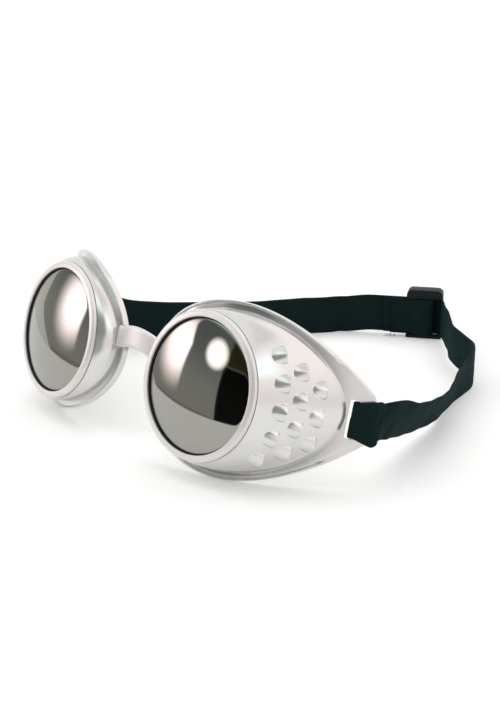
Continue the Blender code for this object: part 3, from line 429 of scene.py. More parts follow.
def wall_point(angle, share):
    """Points on the outside of a cup's wall; the share runs from the ring to the body's edge."""
    angle = np.atleast_1d(angle)
    radius = np.interp(folded(angle), BODY_ANGLES, BODY_RADII)
    edge_x = radius * np.cos(angle)
    edge = np.stack([edge_x, body_edge_depth(edge_x), radius * np.sin(angle)], axis=1)
    flat = np.full_like(angle, BODY_FRONT)
    start = np.stack([BODY_FRONT_RADIUS * np.cos(angle), flat, BODY_FRONT_RADIUS * np.sin(angle)], axis=1)
    long_wall = np.clip(np.linalg.norm(edge - start, axis=1) / FULL_BULGE_LENGTH, 0.0, 1.0)
    bulge = WALL_BULGE * math.sin(math.pi * share) * long_wall / math.sqrt(2.0)
    lift = np.stack([bulge * np.cos(angle), -bulge, bulge * np.sin(angle)], axis=1)
    return start + share * (edge - start) + lift


def vent_frames():
    """Centre and axes of each vent: along the wall toward the temple, up round the ring, and outward."""
    frames = []
    for arc_share, count in zip(VENT_ARC_SHARES, VENT_ARC_COUNTS):
        radius = BODY_FRONT_RADIUS + arc_share * BODY_TEMPLE_REACH
        for i in range(count):
            angle = VENT_ARC_MIDDLE + (0.5 * (count - 1) - i) * VENT_PITCH / radius
            edge_radius = np.interp(abs(angle), BODY_ANGLES, BODY_RADII)
            share = (radius - BODY_FRONT_RADIUS) / (edge_radius - BODY_FRONT_RADIUS)
            centre = wall_point(angle, share)[0]
            along = (wall_point(angle, share + NUDGE_SHARE) - wall_point(angle, share - NUDGE_SHARE))[0]
            along /= np.linalg.norm(along)
            around = (wall_point(angle + NUDGE_SHARE, share) - wall_point(angle - NUDGE_SHARE, share))[0]
            outward = np.cross(around, along)
            outward /= np.linalg.norm(outward)
            if outward[1] > 0.0:
                outward = -outward
            level = np.cross(np.array([0.0, 0.0, 1.0]), outward)
            level /= np.linalg.norm(level)
            if level @ along < 0.0:
                level = -level
            along = along + VENT_LEVEL_SHARE * (level - along)
            along /= np.linalg.norm(along)
            up = np.cross(along, outward)
            if up[2] < 0.0:
                up = -up
            frames.append((centre, along, up, outward))
    return frames


def vent_lift(a, b):
    """Height of a hood over the wall: blunt toward the ring, ridged and cut off toward the temple."""
    s = np.clip((1.0 - a) * 0.5, 0.0, 1.0)
    half = (1.0 - s ** VENT_BLUNTNESS) ** (1.0 / VENT_BLUNTNESS)
    half = half - VENT_CORNER_SHARE * np.clip(1.0 - s / VENT_CORNER_SHARE, 0.0, 1.0) ** 2
    across = np.clip(b / np.maximum(half, 1e-6), -1.0, 1.0)
    section = np.sqrt(1.0 - across * across) * (1.0 - VENT_RIDGE_SHARE * np.clip(across, 0.0, 1.0))
    rise = (1.0 - s) ** VENT_RISE_POWER * np.clip(s / VENT_CUT_SHARE, 0.0, 1.0)
    return np.where(np.abs(b) < half, VENT_HEIGHT * rise * section, 0.0)


def vented(points):
    """Wall points moved out and in where the vents are."""
    moved = points.copy()
    for centre, along, up, outward in vent_frames():
        offset = points - centre
        a = offset @ along / (0.5 * VENT_LENGTH)
        b = offset @ up / (0.5 * VENT_WIDTH)
        near = (np.abs(a) <= 1.0) & (np.abs(b) <= 1.0) & (np.abs(offset @ outward) < VENT_WIDTH)
        lift = np.where(near, vent_lift(a, b), 0.0)
        moved += lift[..., None] * outward
    return moved


def rounded(section, rounds):
    """Loops of a cross-section with each of its corners rounded."""
    loops = []
    for k, corner in enumerate(section):
        size = rounds[k]
        if size == 0.0:
            loops.append(corner)
            continue
        before = section[k - 1] - corner
        after = section[(k + 1) % len(section)] - corner
        start, end = (
            corner + way * np.minimum(size / np.linalg.norm(way, axis=1)[:, None], ROUND_SHARE)
            for way in (before, after)
        )
        loops += [bend_point(start, corner, end, step / ROUND_STEPS) for step in range(ROUND_STEPS + 1)]
    return loops


def on_flange(line, back=0.0):
    """A loop on the gutter's floor, or behind it by an amount."""
    return loop_3d(line, flange_depth(line[:, 0]) + LIP_HEIGHT + back)


def cup_rows():
    full_lip = 1.0 - fade(FLANGE[:, 0], FULL_LIP_X, LIP_FADE_LENGTH)
    full_lip = full_lip * bridge_gap()
    shelf_back = SHELF_FRONT + SHELF_THICKNESS
    wall = [wall_point(POLAR, row / WALL_ROWS) for row in range(WALL_ROWS + 1)]
    foot = inset(BODY, -GAP)
    shoulder = inset(FLANGE, LIP_FOOT)
    crest = inset(FLANGE, LIP_CREST)
    rear = inset(BODY, CUP_WALL)
    inner_front = circle_points(BODY_FRONT_RADIUS - CUP_WALL)
    crown = np.minimum(GUTTER_CROWN, CROWN_SHARE * np.linalg.norm(shoulder - foot, axis=1))
    before = [
        loop_3d(circle_points(SHELF_RADIUS), SHELF_FRONT),
        loop_3d(circle_points(BORE_RADIUS), SHELF_FRONT),
        loop_3d(circle_points(BORE_RADIUS), BODY_FRONT),
    ]
    after = [(wall[-1], BODY_EDGE_ROUND), (on_flange(foot), 0.0)]
    for step in range(1, GUTTER_STEPS):
        u = step / GUTTER_STEPS
        after.append((on_flange(foot + u * (shoulder - foot), -4.0 * u * (1.0 - u) * crown), 0.0))
    after += [
        (on_flange(shoulder), 0.0),
        (on_flange(crest, -LIP_HEIGHT * full_lip), LIP_ROUND),
        (on_flange(FLANGE, -LIP_HEIGHT * full_lip), LIP_ROUND),
        (on_flange(FLANGE, FLANGE_THICKNESS), LIP_ROUND),
        (on_flange(rear, FLANGE_THICKNESS), GUTTER_ROUND),
        (loop_3d(0.5 * (rear + inner_front), 0.5 * (flange_depth(rear[:, 0]) + shelf_back)), GUTTER_ROUND),
        (loop_3d(inner_front, shelf_back), 0.0),
        (loop_3d(circle_points(SHELF_RADIUS), shelf_back), 0.0),
    ]
    corners_after = [wall[-2]] + [loop for loop, size in after]
    rounds_after = [0.0] + [size for loop, size in after]
    rear_part = rounded(corners_after, rounds_after)
    outer = [vented(loop) for loop in wall[:-1]]
    rows = before + outer + rear_part[1:]
    return np.array(rows + rows[:1])


def bridge_gap():
    """Where the flange's lip is left off for the bridge: 0 there and 1 elsewhere."""
    z = FLANGE[:, 1]
    half = 0.5 * BRIDGE_HEIGHT + GAP
    near_bridge = (FLANGE[:, 0] < 0.0) & (np.abs(z - BRIDGE_SEAT_HEIGHT) < half)
    return np.where(near_bridge, 0.0, 1.0)


def block(name, corners):
    """A cube shaped to eight corners: four round one end, then four round the other."""
    deselect()
    bpy.ops.mesh.primitive_cube_add(size=1.0)
    piece = take(name)
    order = (0, 4, 1, 5, 3, 7, 2, 6)
    set_points(piece, [corners[i] for i in order])
    edit(piece)
    bpy.ops.mesh.normals_make_consistent(inside=False)
    leave_edit()
    return piece


def slot_corners(side):
    depth = FLANGE_THICKNESS + LIP_HEIGHT + CUT_OVERRUN
    inner = -0.5 * BAR_WIDTH - SLOT_WIDTH
    outer = -0.5 * BAR_WIDTH
    corners = []
    for z in (SLOT_LOW, SLOT_HIGH):
        for t, n in ((inner, -0.5 * depth), (outer, -0.5 * depth), (outer, 0.5 * depth), (inner, 0.5 * depth)):
            corners.append(tab_point(t, n, z))
    return placed(corners, side)


SHARP_CUP = 38.0
SHARP_FINE = 60.0
SHARP_WEBBING = 50.0
SHARP_SLIDER = 40.0


def moulded_cup(name, side):
    cup = surface(name, placed(cup_rows(), side), sharp_degrees=SHARP_CUP)
    cutter = block(name + "_slot", slot_corners(side))
    cut = cup.modifiers.new("slot", "BOOLEAN")
    cut.operation = "DIFFERENCE"
    cut.solver = "EXACT"
    cut.object = cutter
    apply_modifiers(cup)
    bpy.data.objects.remove(cutter)
    return smooth(cup, SHARP_CUP)


# Pieces turned about a lens's axis

TURN_STEPS = 128
RING_ROUND_STEPS = 12


def turned(name, profile, side):
    """A closed profile of radius and depth, spun about the lens axis."""
    deselect()
    bpy.ops.mesh.primitive_circle_add(vertices=len(profile), radius=1.0)
    piece = take(name)
    set_points(piece, [(radius, depth, 0.0) for radius, depth in profile])
    edit(piece)
    bpy.ops.mesh.spin(steps=TURN_STEPS, angle=2.0 * math.pi, center=(0, 0, 0), axis=(0, 1, 0))
    leave_edit()
    set_points(piece, placed(points_of(piece), side))
    return close_seams(piece)


SEAL_FIT = 0.00002
SEAL_PROUD = 0.0006
SEAL_LIP = 0.00022


def ring_profile():
    """Front band that slopes back to a rounded outer edge, and the skirt that fits in the cup's bore."""
    band = RING_RADIUS - APERTURE_RADIUS
    flat = RING_FLAT_SHARE * band
    points = [(APERTURE_RADIUS, RING_DEPTH)]
    for step in range(CORNER_STEPS // 2 + 1):
        angle = math.pi * step / CORNER_STEPS
        points.append((
            APERTURE_RADIUS + RING_INNER_CHAMFER * (1.0 - math.cos(angle)),
            RING_INNER_CHAMFER * (1.0 - math.sin(angle)),
        ))
    for step in range(RING_ROUND_STEPS + 1):
        angle = 0.5 * math.pi * step / RING_ROUND_STEPS
        radius = APERTURE_RADIUS + flat + (band - flat) * math.sin(angle)
        points.append((radius, RING_LIP_ROUND * (1.0 - math.cos(angle))))
    inner = RING_SKIRT_RADIUS - RING_SKIRT_WALL
    points += [
        (RING_RADIUS, RING_DEPTH),
        (RING_SKIRT_RADIUS, RING_DEPTH),
        (RING_SKIRT_RADIUS, RING_SKIRT_DEPTH),
        (inner, RING_SKIRT_DEPTH),
        (inner, RING_DEPTH),
    ]
    return points


def gasket_profile():
    """A soft seal that lines the opening, with a small rounded lip that shows in front of the lens."""
    outer = APERTURE_RADIUS - SEAL_FIT
    front = CLEAR_RIM_DEPTH - SEAL_PROUD
    points = [(outer, front + GASKET_DEPTH), (outer, front)]
    for step in range(CORNER_STEPS + 1):
        angle = 0.5 * math.pi * step / CORNER_STEPS
        points.append((outer - SEAL_LIP * math.sin(angle), front + SEAL_PROUD * (1.0 - math.cos(angle))))
    points.append((outer - SEAL_LIP, CLEAR_RIM_DEPTH + GASKET_DEPTH - SEAL_PROUD))
    return points


# The clear part of the lens stands forward in the ring's opening, just behind its lip
CLEAR_FIT = 0.00005
CLEAR_RADIUS = APERTURE_RADIUS - CLEAR_FIT
CLEAR_RIM_DEPTH = 0.0011
CLEAR_THICKNESS = 0.0010
CLEAR_DOME = 0.0034
CLEAR_EDGE_POWER = 60
CLEAR_RINGS = 64


def lens_front(radius):
    return CLEAR_RIM_DEPTH - CLEAR_DOME * (1.0 - (radius / CLEAR_RADIUS) ** 2)


def domed_lens(name, side):
    """A ball flattened into a disc of even thickness that domes forward."""
    deselect()
    bpy.ops.mesh.primitive_uv_sphere_add(segments=TURN_STEPS, ring_count=CLEAR_RINGS, radius=1.0)
    piece = take(name)
    ball = points_of(piece).astype(float)
    reach = np.hypot(ball[:, 0], ball[:, 1])
    height = ball[:, 2]
    radius = CLEAR_RADIUS * reach
    front = height > 0.0
    middle = lens_front(radius) + 0.5 * CLEAR_THICKNESS
    rim_share = np.sqrt(np.clip(1.0 - reach ** CLEAR_EDGE_POWER, 0.0, 1.0))
    offset = 0.5 * CLEAR_THICKNESS * rim_share
    depth = np.where(front, middle - offset, middle + offset)
    share = radius / np.maximum(reach, 1e-9)
    disc = np.stack([ball[:, 0] * share, depth, ball[:, 1] * share], axis=1)
    set_points(piece, placed(disc, side))
    return close_seams(piece, SHARP_FINE)


# Webbing

HALF_THICK = 0.5 * STRAP_THICKNESS
WRAP_RADIUS = 0.5 * FLANGE_THICKNESS + LOOP_SLACK + HALF_THICK
LAYER_PITCH = STRAP_THICKNESS + GAP
BAR_EDGE = 0.5 * BAR_WIDTH
ROUTE_STEP = 0.0011
STRAIGHT_STEPS = 14
TOUCHDOWN_SHARE = 0.65
EDGE_STEPS = 5
ACROSS_STEPS = 22
SELVAGE_REACH = 0.0011
SELVAGE_DROP = 0.00010
RIPPLE_HEIGHT = 0.00006
RIPPLE_LENGTH = 0.0017
SAG_HEIGHT = 0.00010
SAG_LENGTH = 0.013
GATHER_WIDTH = 0.0120
GATHER_DROP = 0.0009
CUT_DROP = 0.0010
CUT_ROUND = 0.0010
CUT_ROUND_SHARE = 0.10
CUT_SKEW = 0.10
SKEW_LENGTH = 0.0040

TAIL_NEAR_BAR = LAYER_PITCH
BAR_BACK = TAIL_NEAR_BAR + HALF_THICK + GAP
BAR_FRONT = BAR_BACK + SLIDER_BAR_DEPTH
TAIL_FRONT_LAYER = BAR_FRONT + GAP + HALF_THICK
TAIL_EASE_LENGTH = 0.0050
CORNER_POINTS = 10
RUN_SOFTENING = 12
RUN_FREE_START = 0.04
RUN_FREE_END = 0.78
RUN_FREE_EASE = 0.10
STRAP_STEP = 0.00055
BRIDGE_STEP = 0.0005
BRIDGE_SOFTENING = 3
OUTER_JOIN_CLEAR = 0.0030
INNER_JOIN_CLEAR = 0.0034
RIPPLE_MIDDLE_SHARE = 0.25
SAG_TWIST = 1.4
MEETING_GAP = 0.00001
SLIDE_ROOM = 0.0185
SLIM_EASE = 0.0030
TAIL_SLIM_EASE = 0.0010
CALM_LENGTH = 0.0480
RETURN_SLIM_SHARE = 0.55
RETURN_SHIFT = 0.000525
TAIL_SLIM_SHARE = 0.25
TAIL_SHIFT = 0.000125

# Route of the strap from the near tab, round the back, to the far tab. Each row holds the share of the
# tab's distance from the middle, the share of the way from the tab to the back of the loop, the share of
# the strap's height above the table at the tab, and how far its top leans outward, in degrees.
NEAR_ROUTE_SHARES = (
    (0.948, 0.147, 0.59, 30.0), (0.897, 0.227, 0.40, 33.0), (0.840, 0.311, 0.23, 32.0),
    (0.790, 0.390, 0.12, 29.0), (0.720, 0.466, 0.03, 24.0), (0.647, 0.546, 0.00, 16.0),
    (0.590, 0.622, 0.00, 10.0), (0.551, 0.686, 0.00, 5.0), (0.478, 0.748, 0.03, 0.0),
    (0.355, 0.784, 0.07, 0.0), (0.250, 0.815, 0.10, 0.0), (0.130, 0.884, 0.118, 0.0),
)
FAR_ROUTE_SHARES = (
    (-0.552, 0.751, 0.00, 0.0), (-0.612, 0.697, 0.00, 0.0), (-0.660, 0.637, 0.00, 0.0),
    (-0.706, 0.580, 0.00, 0.0), (-0.770, 0.520, 0.00, 0.0), (-0.870, 0.423, 0.04, 0.0),
    (-0.940, 0.342, 0.09, 0.0), (-1.010, 0.257, 0.18, 0.0), (-1.048, 0.183, 0.33, 0.0),
)


def cup_matrix(side):
    move = Matrix.Translation(Vector((side * 0.5 * LENS_SPACING, 0.0, 0.0)))
    splay = Matrix.Rotation(side * CUP_SPLAY, 4, "Z")
    lean = Matrix.Rotation(-CUP_LEAN, 4, "X")
    return move @ splay @ lean


def cup_world(point, side):
    """From the cup's frame, before mirroring, to the frame of the lens midpoint."""
    x, y, z = point
    return np.array(cup_matrix(side) @ Vector((side * x, y, z)))


def nose_edge_x(height):
    """The flange's nose edge in the cup's frame, at a height on the lens."""
    drop = math.sqrt(1.0 - (height / FLANGE_HALF_HEIGHT) ** 2)
    return FLANGE_CENTRE_X - FLANGE_NOSE_LENGTH * drop


def seat_point(inward, forward):
    """A point before the gutter's floor at the nose, inward from the flange's edge, in the +X cup's frame."""
    x = nose_edge_x(BRIDGE_SEAT_HEIGHT) + inward
    return np.array([x, flange_depth(x) + LIP_HEIGHT - forward, BRIDGE_SEAT_HEIGHT])


def bridge_path():
    """Middle line of the strip from the far seat to the near one."""
    clear = 0.5 * BRIDGE_THICKNESS + GAP
    landing = [cup_world(seat_point(share * BRIDGE_LAP, clear), 1) for share in (0.0, 0.5, 1.0)]
    edge = landing[0]
    arch = []
    for step in range(1 - BRIDGE_STEPS, BRIDGE_STEPS):
        share = step / BRIDGE_STEPS
        rise = 1.0 - share * share
        arch.append(edge * np.array([share, 1.0, 1.0]) + rise * np.array([0.0, -BRIDGE_FORWARD, BRIDGE_RISE]))
    far = [point * np.array([-1.0, 1.0, 1.0]) for point in reversed(landing)]
    return far + arch + landing


def seat_slope():
    """Slope of the gutter's floor under the bridge, as depth over x."""
    return FLANGE_SLOPE + (nose_edge_x(BRIDGE_SEAT_HEIGHT) + 0.5 * BRIDGE_LAP) / FLANGE_CURVE_RADIUS


def tab_slope():
    x = TAB_TIP_X - 0.5 * BAR_WIDTH
    return math.atan(FLANGE_SLOPE + x / FLANGE_CURVE_RADIUS)


def bar_centre():
    """Middle of the bar in the cup's frame, half way through the flange."""
    slope = tab_slope()
    tip = np.array([TAB_TIP_X, flange_depth(TAB_TIP_X) + LIP_HEIGHT + 0.5 * FLANGE_THICKNESS])
    along = np.array([math.cos(slope), math.sin(slope)])
    return tip - 0.5 * BAR_WIDTH * along


def tab_point(t, n, z=0.0):
    """A point in the cup's frame: t toward the tab's tip and n outward from the bar's middle, z along it."""
    slope = tab_slope()
    centre = bar_centre()
    x = centre[0] + t * math.cos(slope) + n * math.sin(slope)
    y = centre[1] + t * math.sin(slope) - n * math.cos(slope)
    return np.array([x, y, z])


def smooth_curve(knots):
    """A smooth curve through rows whose first three numbers are a place, in even steps along its length."""
    knots = np.array(knots, dtype=float)
    length = np.linalg.norm(np.diff(knots[:, :3], axis=0), axis=1)
    slope = np.diff(knots, axis=0) / length[:, None]
    tangent = np.empty_like(knots)
    tangent[0] = slope[0]
    tangent[-1] = slope[-1]
    before = length[:-1, None]
    after = length[1:, None]
    tangent[1:-1] = (slope[:-1] * after + slope[1:] * before) / (before + after)
    curve = []
    for i, span in enumerate(length):
        steps = math.ceil(span / ROUTE_STEP)
        for step in range(steps):
            u = step / steps
            rise = u * u * (3.0 - 2.0 * u)
            start = u * (1.0 - u) ** 2 * span * tangent[i]
            end = -u * u * (1.0 - u) * span * tangent[i + 1]
            curve.append(knots[i] + rise * (knots[i + 1] - knots[i]) + start + end)
    curve.append(knots[-1])
    return np.array(curve)


def arc(centre, radius, start, end, steps):
    points = []
    for step in range(steps + 1):
        angle = start + (end - start) * step / steps
        points.append((centre[0] + radius * math.cos(angle), centre[1] + radius * math.sin(angle)))
    return points


def leg_point(bend, reach, layer):
    """A point on a leg of the strap outside the bar, in t and n; layer 0 is the outer leg and 1 the inner."""
    outward = (math.sin(bend), math.cos(bend))
    t = BAR_EDGE + (WRAP_RADIUS - layer * LAYER_PITCH) * outward[0] + reach * outward[1]
    n = (WRAP_RADIUS - layer * LAYER_PITCH) * outward[1] - reach * outward[0]
    return (t, n)


def wrap_path(bend, front_reach, rear_reach):
    """The turn round a tab's bar, in t and n: round its tip and front, through the slot, and behind it."""
    half_pi = 0.5 * math.pi
    points = [leg_point(bend, front_reach, 0)]
    points += arc((BAR_EDGE, 0.0), WRAP_RADIUS, half_pi - bend, half_pi, CORNER_STEPS)
    points += arc((-BAR_EDGE, 0.0), WRAP_RADIUS, half_pi, 3.0 * half_pi, WRAP_STEPS)
    depth = WRAP_RADIUS * (1.0 + math.cos(bend)) - LAYER_PITCH * math.cos(bend)
    corner_t = leg_point(bend, depth / math.sin(bend), 1)[0]
    start_t = corner_t - LOOP_CORNER_RADIUS * math.tan(0.5 * bend)
    centre = (start_t, -WRAP_RADIUS - LOOP_CORNER_RADIUS)
    points += arc(centre, LOOP_CORNER_RADIUS, half_pi, half_pi - bend, CORNER_STEPS)
    points.append(leg_point(bend, rear_reach, 1))
    return points


def leg_up(bend, lean):
    """The strap's width direction at a leg's end, in the +X cup's frame; its top leans outward."""
    heading = tab_slope() + bend
    return (math.sin(lean) * math.sin(heading), -math.sin(lean) * math.cos(heading), math.cos(lean))


def strap_rest_height():
    """Height of the strap's lower edge at the slider, which stands on its bottom bar."""
    return SLIDER_BOTTOM_BAR + GAP


def route_knots(shares, side):
    """Rows of a middle point and its up direction for each row of a route's shares."""
    table = -TABLE_DROP
    tip = cup_world(tab_point(BAR_EDGE, 0.0), 1)
    tab_low = cup_world(tab_point(0.0, 0.0, -0.5 * STRAP_WIDTH), 1)
    clearance = tab_low[2] - table
    knots = []
    for x_share, y_share, z_share, lean_degrees in shares:
        lean = math.radians(lean_degrees)
        x = x_share * tip[0]
        y = tip[1] + y_share * (LOOP_DEPTH - tip[1])
        low = table + z_share * clearance
        z = low + 0.5 * STRAP_WIDTH * math.cos(lean) + HALF_THICK * math.sin(lean)
        knots.append((x, y, z, side * math.sin(lean), 0.0, math.cos(lean)))
    return knots


def back_point(reach, heading, inward=0.0):
    """A point reach from the corner at the back along a heading, moved toward the inside of the loop."""
    turn = 0.5 * math.pi if heading == FAR_HEADING else -0.5 * math.pi
    x = CORNER_X + reach * math.cos(heading) + inward * math.cos(heading + turn)
    y = LOOP_DEPTH + reach * math.sin(heading) + inward * math.sin(heading + turn)
    return (x, y)


def back_knot(point, share=1.0):
    """A row for an upright strap; share is of the strap's height above the table at the slider."""
    z = -TABLE_DROP + share * strap_rest_height() + 0.5 * STRAP_WIDTH
    return (point[0], point[1], z, 0.0, 0.0, 1.0)


def straight_knots():
    """Rows along the straight stretch, from the corner's turn to where the strap comes down to the table."""
    tangent = corner_tangent()
    rows = []
    for step in range(STRAIGHT_STEPS + 1):
        share = step / STRAIGHT_STEPS
        reach = tangent + (STRAIGHT_LENGTH - tangent) * share
        height_share = 1.0 - fade(share, TOUCHDOWN_SHARE, 1.0 - TOUCHDOWN_SHARE)
        rows.append(back_knot(back_point(reach, FAR_HEADING), height_share))
    return rows


def corner_tangent():
    """Distance from the corner at which its turn meets the straight stretches."""
    turn = NEAR_HEADING + math.pi - (FAR_HEADING - math.pi)
    return CORNER_RADIUS * math.tan(0.5 * (math.pi - turn))


def corner_knots():
    """Rows round the corner, from the near side to the far side."""
    centre = back_point(corner_tangent(), FAR_HEADING, CORNER_RADIUS)
    start = NEAR_HEADING + 0.5 * math.pi
    end = FAR_HEADING - 0.5 * math.pi
    return [back_knot(point) for point in arc(centre, CORNER_RADIUS, start, end, 2 * CORNER_STEPS)]


def leg_knots(side, bend, lean, layer):
    """Two rows in line with a loop's leg, where a run takes over from it."""
    knots = []
    local = leg_up(bend, lean)
    for reach in (LEG_REACH + GAP, LEG_REACH + LEG_LEAD):
        t, n = leg_point(bend, reach, layer)
        point = cup_world(tab_point(t, n), side)
        up = np.array(cup_matrix(side).to_3x3() @ Vector((side * local[0], local[1], local[2])))
        knots.append(tuple(point) + tuple(up))
    return knots


def shifted(knots, inward):
    """The same route drawn toward the inside of the loop by an even amount."""
    knots = np.array(knots)
    ahead = np.roll(knots, -1, axis=0)
    behind = np.roll(knots, 1, axis=0)
    ahead[-1] = knots[-1]
    behind[0] = knots[0]
    tangent = (ahead - behind)[:, :3]
    normal = np.cross(tangent, knots[:, 3:])
    normal /= np.linalg.norm(normal, axis=1)[:, None]
    moved = knots.copy()
    moved[:, :3] -= inward * normal
    return moved


def far_knots():
    return route_knots(FAR_ROUTE_SHARES, -1) + leg_knots(-1, FAR_LOOP_BEND, FAR_LEG_LEAN, 0)[::-1]


def slider_point(t, inward, z):
    """t along the slider toward the corner; inward from the strap's middle toward the goggles."""
    along = np.array([-math.cos(FAR_HEADING), -math.sin(FAR_HEADING), 0.0])
    inside = np.array([-math.sin(FAR_HEADING), math.cos(FAR_HEADING), 0.0])
    return along * t + inside * inward + np.array([0.0, 0.0, z])


def tail_knot(reach, inward):
    """A point of the sewn tail, reach from the slider's middle toward the far side."""
    return slider_point(-reach, inward, strap_rest_height() + 0.5 * STRAP_WIDTH)


def band_section(width, thickness):
    """Across and through offsets round a strip's section, with rounded edges and thinner selvages."""
    half = 0.5 * width
    edge = 0.5 * thickness
    flat = half - edge
    section = []
    for step in range(ACROSS_STEPS + 1):
        a = flat * (1.0 - 2.0 * step / ACROSS_STEPS)
        section.append((a, edge))
    for step in range(1, EDGE_STEPS):
        angle = math.pi * step / EDGE_STEPS
        section.append((-flat - edge * math.sin(angle), edge * math.cos(angle)))
    for step in range(ACROSS_STEPS + 1):
        a = -flat * (1.0 - 2.0 * step / ACROSS_STEPS)
        section.append((a, -edge))
    for step in range(1, EDGE_STEPS):
        angle = math.pi * step / EDGE_STEPS
        section.append((flat + edge * math.sin(angle), -edge * math.cos(angle)))
    section.append(section[0])
    return np.array(section)


def lengths(points):
    """Distance along a path at each of its points."""
    return np.concatenate([[0.0], np.cumsum(np.linalg.norm(np.diff(points, axis=0), axis=1))])


def path_frames(path, ups):
    """Even tangents, normals and width directions along a path."""
    path = np.array(path, dtype=float)
    ups = np.array(ups, dtype=float)
    tangent = np.empty_like(path)
    tangent[1:-1] = path[2:] - path[:-2]
    tangent[0] = path[1] - path[0]
    tangent[-1] = path[-1] - path[-2]
    tangent /= np.linalg.norm(tangent, axis=1)[:, None]
    normal = np.cross(tangent, ups)
    normal /= np.linalg.norm(normal, axis=1)[:, None]
    width = np.cross(normal, tangent)
    return path, tangent, normal, width


def webbing(name, path, ups, widths, thickness=STRAP_THICKNESS, woven=True, skew=0.0, slim=None):
    """A strip of webbing along a path, with a soft ripple, thin selvages and closed ends.

    Each row of slim holds a share of the thickness, a shift along the strip's normal and a share of the ripple.
    """
    path, tangent, normal, across = path_frames(path, ups)
    widths = np.broadcast_to(widths, len(path))
    reach = lengths(path)
    rows = []
    maps = []
    for i, point in enumerate(path):
        section = band_section(widths[i], thickness)
        through = section[:, 1].copy()
        if woven:
            half = 0.5 * widths[i]
            near_edge = np.clip((np.abs(section[:, 0]) - half + SELVAGE_REACH) / SELVAGE_REACH, 0.0, 1.0)
            through *= 1.0 - SELVAGE_DROP / HALF_THICK * np.sin(math.pi * near_edge)
            thick, shift, calm = slim[i] if slim is not None else (1.0, 0.0, 1.0)
            through = through * thick + shift
            wave = math.sin(2.0 * math.pi * reach[i] / RIPPLE_LENGTH) * (
                RIPPLE_MIDDLE_SHARE + (1.0 - RIPPLE_MIDDLE_SHARE) * near_edge)
            through += calm * RIPPLE_HEIGHT * wave
            phase = 2.0 * math.pi * reach[i] / SAG_LENGTH
            through += calm * SAG_HEIGHT * np.sin(phase + SAG_TWIST * np.sign(section[:, 0]))
        row = point + section[:, :1] * across[i] + through[:, None] * normal[i]
        if skew:
            ease = skew * math.exp(-((reach[i] / SKEW_LENGTH) ** 2))
            row = row - ease * section[:, :1] * tangent[i]
        rows.append(row)
        maps.append(np.stack([np.full(len(section), reach[i]), lengths(section)], axis=1))
    first = np.broadcast_to(rows[0].mean(axis=0), rows[0].shape)
    last = np.broadcast_to(rows[-1].mean(axis=0), rows[-1].shape)
    rows = np.array([first] + rows + [last])
    maps = np.array([maps[0]] + maps + [maps[-1]])
    return surface(name, rows, maps, sharp_degrees=SHARP_WEBBING)


def even_path(points, values, step):
    """A path drawn again in even steps, with values that follow it."""
    points = np.array(points, dtype=float)
    values = np.array(values, dtype=float)
    length = lengths(points)
    count = max(2, int(round(length[-1] / step)))
    places = np.linspace(0.0, length[-1], count + 1)
    return [
        np.stack([np.interp(places, length, column) for column in rows.T], axis=1) for rows in (points, values)
    ]


def softened(points, rounds=2):
    """A path with its corners eased, its ends kept."""
    points = np.array(points, dtype=float)
    for _ in range(rounds):
        eased = points.copy()
        eased[1:-1] = 0.25 * points[:-2] + 0.5 * points[1:-1] + 0.25 * points[2:]
        points = eased
    return points


def loop_path(side, bend, lean, front_reach):
    """The strap's turn through a tab's slot, with its width direction and width, in the frame of the solids."""
    rows = []
    flat = wrap_path(bend, front_reach, LEG_REACH)
    local = leg_up(bend, lean)
    turn = np.array(cup_matrix(side).to_3x3())
    upright = turn @ np.array([0.0, 0.0, 1.0])
    leaned = turn @ np.array([side * local[0], local[1], local[2]])
    reach = np.concatenate([[0.0], np.cumsum([math.dist(a, b) for a, b in zip(flat, flat[1:])])])
    for i, (t, n) in enumerate(flat):
        to_back = reach[-1] - reach[i]
        share = np.clip(1.0 - to_back / (LEG_REACH - LOOP_CORNER_RADIUS), 0.0, 1.0)
        to_slot = front_reach + WRAP_RADIUS * bend + BAR_WIDTH
        spread = 1.0 - np.clip(reach[i] / to_slot, 0.0, 1.0) ** 2
        drop = GATHER_DROP * (1.0 - max(share, spread))
        if front_reach == LEG_REACH:
            share = max(share, np.clip(1.0 - reach[i] / LEG_REACH, 0.0, 1.0))
        else:
            drop += CUT_DROP * spread
        up = upright + share * (leaned - upright)
        wide = GATHER_WIDTH + max(share, spread) * (STRAP_WIDTH - GATHER_WIDTH)
        if front_reach < LEG_REACH:
            wide *= 1.0 - CUT_ROUND_SHARE * max(0.0, 1.0 - reach[i] / CUT_ROUND) ** 2
        place = cup_world(tab_point(t, n), side) - drop * up
        rows.append(tuple(place) + tuple(up) + (wide,))
    return rows


def joined_rows(*parts):
    """Rows of place, width direction and width, laid end to end without doubled points."""
    rows = []
    for part in parts:
        for row in part:
            row = tuple(row) if len(row) == 7 else tuple(row) + (STRAP_WIDTH,)
            if rows and math.dist(row[:3], rows[-1][:3]) < 0.25 * ROUTE_STEP:
                continue
            rows.append(row)
    return np.array(rows)


def strap_piece(name, rows, step=STRAP_STEP, skew=0.0, slimmed=None):
    points, values = even_path(rows[:, :3], rows[:, 3:], step)
    points = softened(points)
    reach = lengths(points)
    slim = slimmed(reach, reach[-1] - reach) if slimmed else None
    return webbing(name, shifted_to_frame(points), values[:, :3], values[:, 3], skew=skew, slim=slim)


def layer(thick, shift, calm):
    """Rows for webbing's slim: share of the thickness, shift and share of the ripple."""
    return np.stack(np.broadcast_arrays(thick, shift, calm), axis=1)


def slim_return(reach, to_end):
    """The inner layer is slim beside the tail, which slides over it; the outer layer lies calm there."""
    slim = 1.0 - fade(to_end, SLIDE_ROOM, SLIM_EASE)
    calm = fade(reach, CALM_LENGTH, SLIM_EASE) * (1.0 - slim)
    return layer(1.0 - RETURN_SLIM_SHARE * slim, -RETURN_SHIFT * slim, calm)


